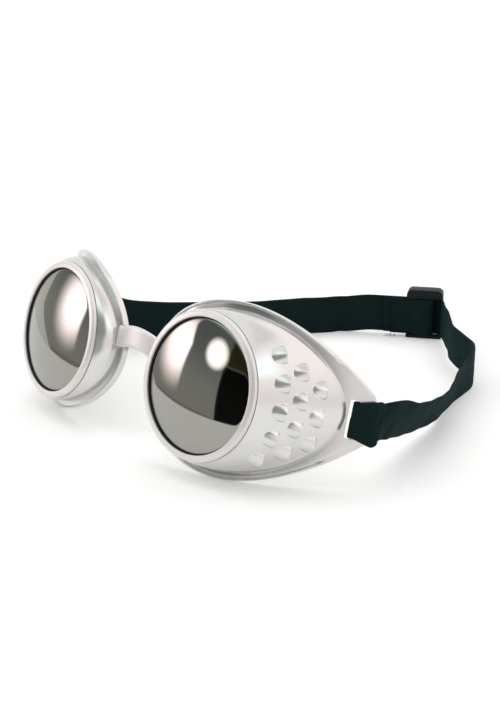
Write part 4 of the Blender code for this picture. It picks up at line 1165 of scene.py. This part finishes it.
def calm_corner(reach, to_end):
    """The near side lies calm where it meets the far side, so that no gap opens between them."""
    return layer(1.0, 0.0, fade(to_end, 0.5 * CORNER_RADIUS, 2.0 * CORNER_RADIUS))


def slim_tail(reach, to_end):
    slim = 1.0 - fade(to_end, SLIDE_ROOM, 0.5 * TAIL_SLIM_EASE)
    return layer(1.0 - TAIL_SLIM_SHARE * slim, -TAIL_SHIFT * slim, 1.0 - slim)


def near_webbing():
    """From the sewn cut end, through the near slot, down to the table and round the corner at the back."""
    run_knots = leg_knots(1, NEAR_LOOP_BEND, NEAR_LEG_LEAN, 1)
    run_knots += route_knots(NEAR_ROUTE_SHARES, 1)
    run_knots.append(back_knot(back_point(NEAR_RUN_START + GAP, NEAR_HEADING)))
    corner = [back_knot(back_point(NEAR_RUN_START, NEAR_HEADING))] + corner_knots()
    tangent = corner_tangent()
    for share in (0.5, 1.0):
        corner.append(back_knot(back_point(tangent + share * (SLIDER_FROM_CORNER - tangent), FAR_HEADING)))
    curve = smooth_curve(run_knots + corner[1:])
    share = np.linspace(0.0, 1.0, len(curve))[:, None]
    free = fade(share, RUN_FREE_START, RUN_FREE_EASE) * (1.0 - fade(share, RUN_FREE_END, RUN_FREE_EASE))
    curve = curve + free * (softened(curve, RUN_SOFTENING) - curve)
    loop = loop_path(1, NEAR_LOOP_BEND, NEAR_LEG_LEAN, CUT_END_REACH)
    return strap_piece("near_webbing", joined_rows(loop, curve), skew=CUT_SKEW, slimmed=calm_corner)


def far_webbing():
    """From behind the slider along the table to the far slot, and back inside itself to the sewn tail."""
    start = back_knot(back_point(SLIDER_FROM_CORNER + MEETING_GAP, FAR_HEADING))
    ahead = [knot for knot in straight_knots() if knot[0] < start[0] - OUTER_JOIN_CLEAR]
    out = smooth_curve([start] + ahead + far_knots())
    loop = loop_path(-1, FAR_LOOP_BEND, FAR_LEG_LEAN, LEG_REACH)
    end = back_knot(back_point(SLIDER_FROM_CORNER + TAIL_REACH + GAP, FAR_HEADING))
    rest = [knot for knot in straight_knots() if knot[0] < end[0] - INNER_JOIN_CLEAR]
    back = shifted(smooth_curve([end] + rest + far_knots()), LAYER_PITCH)[::-1]
    return strap_piece("far_webbing", joined_rows(out, loop, back), slimmed=slim_return)


def tail_webbing():
    """The strap's end, sewn back on itself round the slider's centre bar."""
    bar = 0.5 * SLIDER_CENTRE_BAR
    turn = 0.5 * (TAIL_FRONT_LAYER - TAIL_NEAR_BAR)
    doubled = TAIL_NEAR_BAR + LAYER_PITCH
    path = []
    lead = bar + TAIL_EASE_LENGTH
    for step in range(CORNER_POINTS + 1):
        path.append(tail_knot(TAIL_CUT_REACH + (lead - TAIL_CUT_REACH) * step / CORNER_POINTS, doubled))
    for step in range(1, CORNER_POINTS + 1):
        share = step / CORNER_POINTS
        ease = share * share * (3.0 - 2.0 * share)
        inward = doubled + (TAIL_FRONT_LAYER - doubled) * ease
        path.append(tail_knot(lead - TAIL_EASE_LENGTH * share, inward))
    middle = TAIL_NEAR_BAR + turn
    for step in range(WRAP_STEPS + 1):
        angle = 0.5 * math.pi - math.pi * step / WRAP_STEPS
        path.append(tail_knot(-bar - turn * math.cos(angle), middle + turn * math.sin(angle)))
    for step in range(1, 2 * CORNER_POINTS + 1):
        path.append(tail_knot(-bar + (TAIL_REACH + bar) * step / (2 * CORNER_POINTS), TAIL_NEAR_BAR))
    origin = slider_origin()
    rows = np.array([tuple(np.array(point) + origin) + (0.0, 0.0, 1.0, STRAP_WIDTH) for point in path])
    return strap_piece("tail_webbing", rows, slimmed=slim_tail)


def slider_origin():
    """The strap's middle at the slider, at the table's height, from the lens midpoint."""
    x, y = back_point(SLIDER_FROM_CORNER, FAR_HEADING)
    return np.array([x, y, -TABLE_DROP])


# Bridge

BRIDGE_STEPS = 14


def peg_head(side):
    """The low round head of the bridge's peg, flat against the back of a flange."""
    deselect()
    bpy.ops.mesh.primitive_uv_sphere_add(segments=24, ring_count=12, radius=1.0)
    head = take("peg_head")
    ball = points_of(head).astype(float)
    seat = seat_point(0.5 * BRIDGE_LAP, -FLANGE_THICKNESS - GAP)
    dome = np.stack([
        seat[0] + PEG_HEAD_RADIUS * ball[:, 0],
        seat[1] + PEG_HEAD_RADIUS * ball[:, 0] * seat_slope() + PEG_HEAD_HEIGHT * np.maximum(ball[:, 2], 0.0),
        seat[2] + PEG_HEAD_RADIUS * ball[:, 1],
    ], axis=1)
    set_points(head, placed(dome, side))
    return close_seams(head)


def bridge_strip():
    path = [shifted_to_frame(point) for point in bridge_path()]
    up = (0.0, math.sin(CUP_LEAN), math.cos(CUP_LEAN))
    points, _ = even_path(path, [[0.0]] * len(path), BRIDGE_STEP)
    points = softened(points, BRIDGE_SOFTENING)
    strip = webbing("bridge_strip", points, [up] * len(points), BRIDGE_HEIGHT, BRIDGE_THICKNESS, woven=False)
    pick(peg_head(1), peg_head(-1), strip)
    bpy.ops.object.join()
    return strip


# Thread

STITCH_RADIUS = 0.5 * THREAD
FIBRE_RADIUS = 0.00009
FIBRE_REACH = 0.0011
FIBRE_STEPS = 6

# Where each loose thread leaves the strap's lower edge, and how far it strays along it
LOOSE_THREADS = ((0.0151, 0.0016), (0.0143, -0.0013), (0.0136, 0.0019), (0.0126, -0.0009), (0.0121, 0.0008))


def stitch_row(name, chains):
    """Chains of short rounded stitches; a chain is its corners and its radius."""
    stitches = []
    spans = [(Vector(a), Vector(b), radius) for corners, radius in chains for a, b in zip(corners, corners[1:])]
    for start, end, radius in spans:
        deselect()
        bpy.ops.mesh.primitive_uv_sphere_add(segments=8, ring_count=6, radius=1.0)
        piece = take(name + "_stitch")
        turn = (end - start).to_track_quat("Z", "Y").to_matrix().to_4x4()
        half = 0.5 * (end - start).length + radius
        size = Matrix.Diagonal((radius, radius, half, 1.0))
        piece.data.transform(Matrix.Translation(0.5 * (start + end)) @ turn @ size)
        stitches.append(piece)
    pick(*reversed(stitches))
    bpy.ops.object.join()
    return close_seams(take(name), SHARP_FINE)


def near_stitch_row():
    outward = HALF_THICK + THREAD_GAP
    corners = []
    for stitch in range(STITCH_COUNT + 1):
        z = (stitch / STITCH_COUNT - 0.5) * (SLOT_STRAP_WIDTH - 4.0 * THREAD)
        reach = CUT_END_REACH - THREAD - (stitch % 2) * STITCH_WIDTH + CUT_SKEW * z
        t, n = leg_point(NEAR_LOOP_BEND, reach, -outward / LAYER_PITCH)
        corners.append(shifted_to_frame(cup_world(tab_point(t, n, z - CUT_DROP), 1)))
    return stitch_row("near_seam", [(corners, STITCH_RADIUS)])


def tail_stitch_row():
    inward = TAIL_NEAR_BAR + LAYER_PITCH + HALF_THICK + THREAD_GAP
    corners = []
    for stitch in range(STITCH_COUNT + 1):
        reach = TAIL_CUT_REACH - THREAD - (stitch % 2) * STITCH_WIDTH
        point = np.array(tail_knot(reach, inward)) + slider_origin()
        point[2] += (stitch / STITCH_COUNT - 0.5) * (STRAP_WIDTH - 4.0 * THREAD)
        corners.append(shifted_to_frame(point))
    chains = [(corners, STITCH_RADIUS)]
    low = strap_rest_height() - 0.5 * THREAD
    for start, drift in LOOSE_THREADS:
        fibre = []
        for step in range(FIBRE_STEPS + 1):
            share = step / FIBRE_STEPS
            point = np.array(tail_knot(start + drift * share * share, inward)) + slider_origin()
            point += slider_point(0.0, FIBRE_REACH * share, 0.0)
            point[2] = slider_origin()[2] + low - (low - FIBRE_RADIUS - GAP) * math.sin(0.5 * math.pi * share)
            fibre.append(shifted_to_frame(point))
        chains.append((fibre, FIBRE_RADIUS))
    return stitch_row("tail_seam", chains)


# Slider

SLIDER_EDGE_ROUND = 0.00035
SLIDER_EDGE_STEPS = 3
FLAT_DEGREES = 2.0


def slider_frame():
    """The slider's own solid with its edges rounded."""
    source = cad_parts["strap_slider"]
    piece = source.copy()
    piece.data = source.data.copy()
    piece.name = "slider_frame"
    piece.parent = None
    for key in list(piece.keys()):
        del piece[key]
    bpy.context.scene.collection.objects.link(piece)
    edit(piece)
    bpy.ops.mesh.remove_doubles(threshold=0.5 * MERGE)
    bpy.ops.mesh.dissolve_limited(angle_limit=math.radians(FLAT_DEGREES))
    leave_edit()
    bevel = piece.modifiers.new("edges", "BEVEL")
    bevel.width = SLIDER_EDGE_ROUND
    bevel.segments = SLIDER_EDGE_STEPS
    bevel.limit_method = "ANGLE"
    bevel.angle_limit = math.radians(SHARP_SLIDER)
    apply_modifiers(piece)
    return smooth(piece, SHARP_SLIDER)


# Finishes


class Tone:
    """A value that varies over a surface, for use in sums."""

    def __init__(self, finish, socket):
        self.finish = finish
        self.socket = socket

    def __add__(self, other):
        return self.finish.sum("ADD", self, other)

    __radd__ = __add__

    def __sub__(self, other):
        return self.finish.sum("SUBTRACT", self, other)

    def __rsub__(self, other):
        return self.finish.sum("SUBTRACT", other, self)

    def __mul__(self, other):
        return self.finish.sum("MULTIPLY", self, other)

    __rmul__ = __mul__

    def __pow__(self, other):
        return self.finish.sum("POWER", self, other)


class Nodes:
    """The nodes of a material or of the world."""

    def __init__(self, owner):
        owner.use_nodes = True
        self.tree = owner.node_tree

    def node(self, kind, settings=None, values=None, out=0):
        node = self.tree.nodes.new(kind)
        for key, value in (settings or {}).items():
            if key == "stops":
                ramp = node.color_ramp
                while len(ramp.elements) < len(value):
                    ramp.elements.new(0.5)
                for element, (place, colour) in zip(ramp.elements, value):
                    element.position = place
                    element.color = colour
            else:
                setattr(node, key, value)
        for key, value in (values or {}).items():
            self.feed(node.inputs[key], value)
        return Tone(self, node.outputs[out])

    def feed(self, socket, value):
        if isinstance(value, Tone):
            self.tree.links.new(value.socket, socket)
        else:
            socket.default_value = value

    def sum(self, operation, first, second=0.0):
        return self.node("ShaderNodeMath", {"operation": operation}, {0: first, 1: second})

    def kept(self, value, low=0.0, high=1.0):
        return self.node("ShaderNodeClamp", None, {0: value, 1: low, 2: high})

    def ease(self, value, low, high):
        settings = {"interpolation_type": "SMOOTHSTEP"}
        return self.node("ShaderNodeMapRange", settings, {0: value, 1: low, 2: high})

    def mixed(self, share, first, second):
        return self.node("ShaderNodeMix", {"data_type": "RGBA"}, {0: share, 6: first, 7: second}, out=2)

    def place(self):
        return self.node("ShaderNodeTexCoord", out="Object")

    def cloth_place(self):
        return self.node("ShaderNodeUVMap")

    def parts(self, vector):
        split = self.node("ShaderNodeSeparateXYZ", None, {0: vector})
        return [Tone(self, socket) for socket in split.socket.node.outputs]

    def cloud(self, scale, detail=2.0, roughness=0.5):
        values = {"Vector": self.place(), "Scale": scale, "Detail": detail, "Roughness": roughness}
        return self.node("ShaderNodeTexNoise", None, values, out="Fac")

    def bump(self, height, distance, strength=1.0, normal=None):
        values = {"Height": height, "Distance": distance, "Strength": strength}
        if normal is not None:
            values["Normal"] = normal
        return self.node("ShaderNodeBump", None, values)

    def seen(self):
        """1 for rays from the camera, a reflection or a clear thing, and 0 for light."""
        path = self.node("ShaderNodeLightPath").socket.node
        rays = [Tone(self, path.outputs[f"Is {kind} Ray"]) for kind in ("Camera", "Glossy", "Transmission")]
        return self.sum("MAXIMUM", self.sum("MAXIMUM", rays[0], rays[1]), rays[2])


class Finish(Nodes):
    """A material and the nodes in it."""

    def __init__(self, name, plain=None):
        self.material = bpy.data.materials.new(name)
        super().__init__(self.material)
        self.shader = self.tree.nodes["Principled BSDF"]
        self.show(plain or {})

    def show(self, values):
        for key, value in values.items():
            self.feed(self.shader.inputs[key], value)

    def shine(self, light):
        """Lets a shader of its own stand for the plain one."""
        self.feed(self.tree.nodes["Material Output"].inputs["Surface"], light)


def tint(red, green, blue):
    return (red, green, blue, 1.0)


def pearl_finish(name, metallic, roughness, dark, pale):
    """Silver-white metal lacquer over plastic, with a faint pearl cloud in it."""
    finish = Finish(name, {"Metallic": metallic, "IOR": 1.5})
    cloud = finish.cloud(95.0, 3.0)
    flakes = finish.cloud(5200.0, 1.0)
    scuffs = finish.cloud(620.0, 4.0, 0.7)
    share = finish.kept(0.6 * cloud + 0.4 * flakes)
    finish.show({
        "Base Color": finish.mixed(share, dark, pale),
        "Roughness": finish.kept(roughness + 0.08 * scuffs),
        "Normal": finish.bump(0.7 * flakes + 0.3 * scuffs, 0.00002, 0.25),
    })
    return finish.material


def mirror_finish():
    """A dark mirror coating, with the faintest smears."""
    finish = Finish("mirrored_lens", {"Metallic": 1.0})
    smear = finish.cloud(160.0, 3.0)
    finish.show({
        "Base Color": finish.mixed(smear, tint(0.315, 0.312, 0.288), tint(0.335, 0.330, 0.306)),
        "Roughness": finish.kept(0.035 + 0.02 * smear),
    })
    return finish.material


def rubber_finish():
    finish = Finish("black_gasket")
    grain = finish.cloud(2600.0, 2.0)
    dust = finish.cloud(300.0, 3.0)
    finish.show({
        "Base Color": finish.mixed(dust, tint(0.009, 0.010, 0.010), tint(0.020, 0.021, 0.020)),
        "Roughness": 0.42 + 0.16 * grain,
        "Normal": finish.bump(grain, 0.00003, 0.4),
    })
    return finish.material


RIB_PITCH = 0.00058
YARN_PITCH = 0.00046


def webbing_finish():
    """Black elastic webbing: fine ribs across it, yarns along it, painted shade in the weave's hollows and a
    dull sheen.
    """
    finish = Finish("black_webbing", {
        "Sheen Weight": 0.03, "Sheen Roughness": 0.5, "Sheen Tint": tint(0.35, 0.9, 0.9),
        "Specular IOR Level": 0.05,
    })
    along, around, _ = finish.parts(finish.cloth_place())
    drift = finish.cloud(240.0, 2.0)
    fuzz = finish.cloud(4200.0, 2.0)
    lane = finish.sum("FRACT", around * (0.5 / YARN_PITCH))
    side = finish.sum("GREATER_THAN", lane, 0.5)
    rib = finish.sum("SINE", along * (2.0 * math.pi / RIB_PITCH) + math.pi * side + 0.8 * drift)
    yarn = finish.sum("SINE", around * (2.0 * math.pi / YARN_PITCH))
    weave = finish.kept(0.5 + 0.34 * rib + 0.14 * yarn + 0.30 * (fuzz - 0.5))
    # The colour is darker where the weave lies low: painted shade in its hollows, with a random drift in tone
    shade = finish.kept(0.75 * weave + 0.35 * drift - 0.05)
    finish.show({
        "Base Color": finish.mixed(shade, tint(0.0022, 0.0068, 0.0072), tint(0.0130, 0.0320, 0.0325)),
        "Roughness": 0.70 + 0.2 * fuzz,
        "Normal": finish.bump(weave, 0.00012, 0.8),
    })
    return finish.material


def thread_finish():
    finish = Finish("black_thread", {"Specular IOR Level": 0.1})
    twist = finish.cloud(5200.0, 2.0)
    finish.show({
        "Base Color": finish.mixed(twist, tint(0.003, 0.008, 0.0085), tint(0.012, 0.027, 0.028)),
        "Roughness": 0.55 + 0.25 * twist,
        "Normal": finish.bump(twist, 0.00005, 0.7),
    })
    return finish.material


def slider_finish():
    """Glossy black plastic with fine scuffs on its bars."""
    finish = Finish("black_slider", {"Specular IOR Level": 0.2})
    grain = finish.cloud(1500.0, 2.0)
    scuffs = finish.cloud(260.0, 4.0, 0.7)
    finish.show({
        "Base Color": finish.mixed(scuffs, tint(0.002, 0.005, 0.0055), tint(0.007, 0.014, 0.0145)),
        "Roughness": finish.kept(0.34 + 0.26 * scuffs),
        "Normal": finish.bump(0.6 * grain + 0.4 * scuffs, 0.00005, 0.35),
    })
    return finish.material


def wear(piece, material):
    piece.data.materials.clear()
    piece.data.materials.append(material)


# Pieces on their bodies

PEARL = pearl_finish("pearl_plastic", 0.75, 0.17, tint(0.68, 0.675, 0.66), tint(0.76, 0.75, 0.74))
RING_PEARL = pearl_finish("pearl_ring", 0.45, 0.36, tint(0.78, 0.745, 0.735), tint(0.84, 0.805, 0.795))
MIRROR = mirror_finish()
RUBBER = rubber_finish()
WEBBING = webbing_finish()
THREAD_FINISH = thread_finish()
SLIDER_PLASTIC = slider_finish()


def fit(piece, material, slot, body, *nodes):
    """Gives a piece its finish and its body, and lets it stand for the nodes it covers."""
    wear(piece, material)
    if body:
        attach(piece, body)
    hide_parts(*nodes)
    return piece


for word, side in (("near", 1), ("far", -1)):
    cup = moulded_cup(word + "_cup", side)
    fit(cup, PEARL, "pearl_plastic", "frame", word + "_cup_shell")
    bezel = turned(word + "_bezel", ring_profile(), side)
    fit(bezel, RING_PEARL, "pearl_plastic", "frame", word + "_lens_ring")
    seal = turned(word + "_seal", gasket_profile(), side)
    fit(seal, RUBBER, "black_gasket", "frame", word + "_lens_gasket")
    glass = domed_lens(word + "_mirror", side)
    fit(glass, MIRROR, "mirrored_lens", "frame", word + "_lens")

fit(bridge_strip(), RING_PEARL, "pearl_plastic", "frame", "nose_bridge")

near_strap = fit(near_webbing(), WEBBING, "black_webbing", None, "near_strap_loop", "strap_near_run")
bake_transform(near_strap)
far_strap = fit(
    far_webbing(), WEBBING, "black_webbing", None, "far_strap_loop", "strap_back_run", "strap_return_run",
)
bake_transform(far_strap)
fit(tail_webbing(), WEBBING, "black_webbing", "slider", "slider_strap_loop")
fit(near_stitch_row(), THREAD_FINISH, "black_thread", "near_loop", "near_loop_stitching")
fit(tail_stitch_row(), THREAD_FINISH, "black_thread", "slider", "slider_loop_stitching")
fit(slider_frame(), SLIDER_PLASTIC, "black_slider", "slider", "strap_slider")

# Studio

FLOOR_SIZE = 6.0
PAPER_EDGE = ((-0.219, -0.086), (-0.020, -0.190))
WALL_RADIUS = 1.2
FLOOR_GLOW = 0.26
WORLD_LIGHT = 0.60
SHEET_STEP = 2.0
SHEET_SCALE = 0.01


def stage_floor():
    """White paper that lies under the goggles and ends a little before them, where the lenses see its edge."""
    deselect()
    bpy.ops.mesh.primitive_plane_add(size=FLOOR_SIZE, location=(0.0, 0.0, 0.0))
    floor = take("paper")
    edit(floor)
    start, end = (Vector((x + MIDDLE.x, y + MIDDLE.y, 0.0)) for x, y in PAPER_EDGE)
    across = Vector((end.y - start.y, start.x - end.x, 0.0)).normalized()
    if across.y > 0.0:
        across = -across
    bpy.ops.mesh.bisect(plane_co=start, plane_no=across, clear_outer=True)
    leave_edit()
    finish = Finish("paper", {
        "Base Color": tint(0.80, 0.80, 0.79), "Roughness": 0.9, "Specular IOR Level": 0.1,
    })
    finish.show({"Emission Color": tint(1.0, 1.0, 1.0), "Emission Strength": FLOOR_GLOW * finish.seen()})
    wear(floor, finish.material)
    return floor


def seen_in_gloss_only(thing):
    thing.visible_camera = False
    thing.visible_diffuse = False
    thing.visible_shadow = False
    thing.visible_transmission = False


def round_sheet(name, distance, azimuths, elevations):
    """A curved sheet round the goggles, with its finish and its azimuth and elevation in degrees."""
    az_steps, el_steps = (np.arange(low, high + 0.1, SHEET_STEP) for low, high in (azimuths, elevations))
    rows = shifted_to_frame([[distance * toward(az, el) for az in az_steps] for el in el_steps])
    maps = np.array([[(SHEET_SCALE * az, SHEET_SCALE * el) for az in az_steps] for el in el_steps])
    finish = Finish(name)
    az, el, _ = finish.parts(finish.cloth_place())
    return surface(name, rows, maps), finish, (1.0 / SHEET_SCALE) * az, (1.0 / SHEET_SCALE) * el


def painted_reflection_wall():
    """A glowing sheet round the table, seen only in glossy things, with painted reflections of a room, its
    lamps and its dark places.
    """
    wall, finish, az, el = round_sheet("painted_room_reflections", WALL_RADIUS, (-130.0, 200.0), (-14.0, 80.0))
    # Painted reflection of a grey room that darkens with height, with the line of a table's edge
    level = 0.44 - 0.21 * finish.ease(el, 2.0, 26.0)
    line = finish.ease(el, -8.6, -7.6) * (1.0 - finish.ease(el, -6.6, -5.8))
    level = level * (1.0 - 0.25 * line)
    # Painted reflection of the pale sweep at the left
    sweep_edge = az + 79.5 - 2.2 * finish.kept(0.5 - el, 0.0, 30.0)
    sweep = 1.0 - finish.ease(sweep_edge, -1.0, 1.0)
    level = level + sweep * (0.95 - level)
    # Painted reflection of a dark opening behind the camera, greyer at its right, with an olive band over it
    round_az = az - 16.0 * finish.ease(el, 10.0, 20.0)
    before_side = 1.0 - finish.ease(round_az, 38.0, 52.0)
    opening = finish.ease(az, -17.6, -16.4) * before_side
    far_up = finish.ease(az, 12.0, 16.0)
    dark = opening * (1.0 - finish.ease(el, 18.4, 19.6) * (1.0 - far_up) - finish.ease(el, 40.0, 50.0) * far_up)
    level = level * (1.0 - 0.975 * dark)
    beside = finish.ease(az, 12.5, 20.0) * before_side
    level = level + (0.30 - 0.12 * finish.ease(el, 12.0, 20.0)) * beside
    olive = opening * finish.ease(el, 19.0, 20.0) * (1.0 - finish.ease(az, 8.0, 14.0))
    olive = olive * (1.0 - finish.ease(el, 30.0, 36.0))
    level = level * (1.0 - 0.80 * olive)
    # Painted reflections of a bright side past the near temple, a lamp box over the opening and the light
    # between them
    side = finish.ease(round_az, 41.0, 54.0)
    side_level = 1.0 + 0.2 * finish.ease(el, 4.0, 18.0) + 0.15 * finish.ease(el, 22.0, 32.0)
    side_level = side_level - 0.5 * finish.ease(el, 50.0, 66.0)
    level = level + side * (side_level - level)
    box = finish.ease(az, 8.0, 16.0) * finish.ease(el, 46.0, 56.0) * (1.0 - finish.ease(az, 58.0, 70.0))
    level = level + box * (1.5 - level)
    rise = finish.ease(el - 12.0 * far_up, 31.0, 42.0)
    level = level + rise * (1.0 - box) * (1.0 - side) * (1.0 - level)
    # Painted highlights: a brighter patch beside the ring and the reflection of an oval lamp
    patch = 1.0 - finish.ease(finish.sum("ABSOLUTE", az - 78.0), 5.0, 11.0)
    patch = patch * (1.0 - finish.ease(finish.sum("ABSOLUTE", el - 38.0), 8.0, 14.0))
    level = level + 0.45 * patch
    oval_x = 0.1188 * (az + 25.1) + 0.094 * (el - 21.9)
    oval_y = 0.0609 * (az + 25.1) - 0.1433 * (el - 21.9)
    oval = 1.0 - finish.ease(oval_x * oval_x + oval_y * oval_y, 0.35, 1.75)
    level = level + 3.6 * oval
    # Tints of the painted reflections: warmer low and cooler high, pink on the bright side and the oval lamp,
    # olive in the band
    plain = finish.mixed(finish.kept(el * 0.035), tint(1.0, 1.0, 0.93), tint(0.90, 1.0, 1.0))
    warm = finish.kept(side - patch + finish.kept(2.0 * oval))
    plain = finish.mixed(warm, plain, tint(1.0, 0.93, 0.915))
    plain = finish.mixed(olive, plain, tint(1.0, 1.0, 0.45))
    finish.shine(finish.node("ShaderNodeEmission", None, {"Color": plain, "Strength": level}))
    wear(wall, finish.material)
    seen_in_gloss_only(wall)
    return wall


# Place, size and brightness of the painted reflection of a lamp at the left
LAMP_DISTANCE = 0.37
LAMP_AZ = -51.0
LAMP_EL = 16.0
LAMP_REACH = 22.0
LAMP_RIGHT_EDGE = -42.0
LAMP_STRENGTH = 4.6


def painted_lamp_reflection():
    """A glowing sheet seen only in glossy things, with the painted reflection of a soft round lamp at the left,
    near enough that each lens shows it from its own side.
    """
    card, finish, az, el = round_sheet("painted_lamp_reflection", LAMP_DISTANCE, (-84.0, -19.0), (-12.0, 50.0))
    reach = finish.sum("SQRT", (az - LAMP_AZ) * (az - LAMP_AZ) + (el - LAMP_EL) * (el - LAMP_EL))
    glow = 1.0 - finish.ease(reach, 2.0, LAMP_REACH)
    edge = az - LAMP_RIGHT_EDGE + 0.6 * finish.kept(el - 20.0, 0.0, 8.0)
    glow = glow * (1.0 - finish.ease(edge, -1.2, 1.2))
    glow = {"Color": tint(1.0, 0.84, 0.86), "Strength": LAMP_STRENGTH * glow}
    light = finish.node("ShaderNodeEmission", None, glow)
    clear = finish.node("ShaderNodeBsdfTransparent")
    finish.shine(finish.node("ShaderNodeAddShader", None, {0: light, 1: clear}))
    wear(card, finish.material)
    seen_in_gloss_only(card)
    return card


def world_light():
    world = bpy.data.worlds.new("studio")
    bpy.context.scene.world = world
    nodes = Nodes(world)
    background = nodes.tree.nodes["Background"]
    level = {"Value": nodes.seen(), "To Min": WORLD_LIGHT, "To Max": 1.0}
    nodes.feed(background.inputs["Color"], tint(1.0, 1.0, 1.0))
    nodes.feed(background.inputs["Strength"], nodes.node("ShaderNodeMapRange", None, level))


def soft_sun(name, azimuth, elevation, strength, spread):
    """A wide soft light from a direction, which reaches the whole floor evenly."""
    deselect()
    bpy.ops.object.light_add(type="SUN", location=(0.0, 0.0, 1.0))
    lamp = bpy.context.object
    lamp.name = name
    lamp.data.energy = strength
    lamp.data.angle = math.radians(spread)
    lamp.rotation_euler = Vector(toward(azimuth, elevation)).to_track_quat("Z", "Y").to_euler()
    lamp.visible_glossy = False
    return lamp


CAMERA_AZIMUTH = 48.88
CAMERA_ELEVATION = 18.66
CAMERA_DISTANCE = 0.450
CAMERA_TARGET = Vector((0.06651, 0.0, 0.01653))
CAMERA_LENS = 74.16
CAMERA_FILM = 36.0


def add_camera():
    back = Vector(toward(CAMERA_AZIMUTH, CAMERA_ELEVATION))
    right = Vector((math.cos(math.radians(CAMERA_AZIMUTH)), math.sin(math.radians(CAMERA_AZIMUTH)), 0.0))
    up = back.cross(right)
    place = MIDDLE + CAMERA_TARGET + CAMERA_DISTANCE * back
    bpy.ops.object.camera_add()
    camera = bpy.context.object
    camera.name = "photo_camera"
    camera.data.lens = CAMERA_LENS
    camera.data.sensor_width = CAMERA_FILM
    camera.data.clip_start = 0.01
    camera.data.clip_end = 20.0
    matrix = Matrix((right, up, back)).transposed().to_4x4()
    matrix.translation = place
    camera.matrix_world = matrix
    bpy.context.scene.camera = camera


stage_floor()
painted_reflection_wall()
painted_lamp_reflection()
world_light()
soft_sun("overhead", -150.0, 72.0, 1.15, 60.0)
soft_sun("front_left", -60.0, 42.0, 0.55, 40.0)
add_camera()
bpy.context.scene.view_settings.view_transform = "Standard"
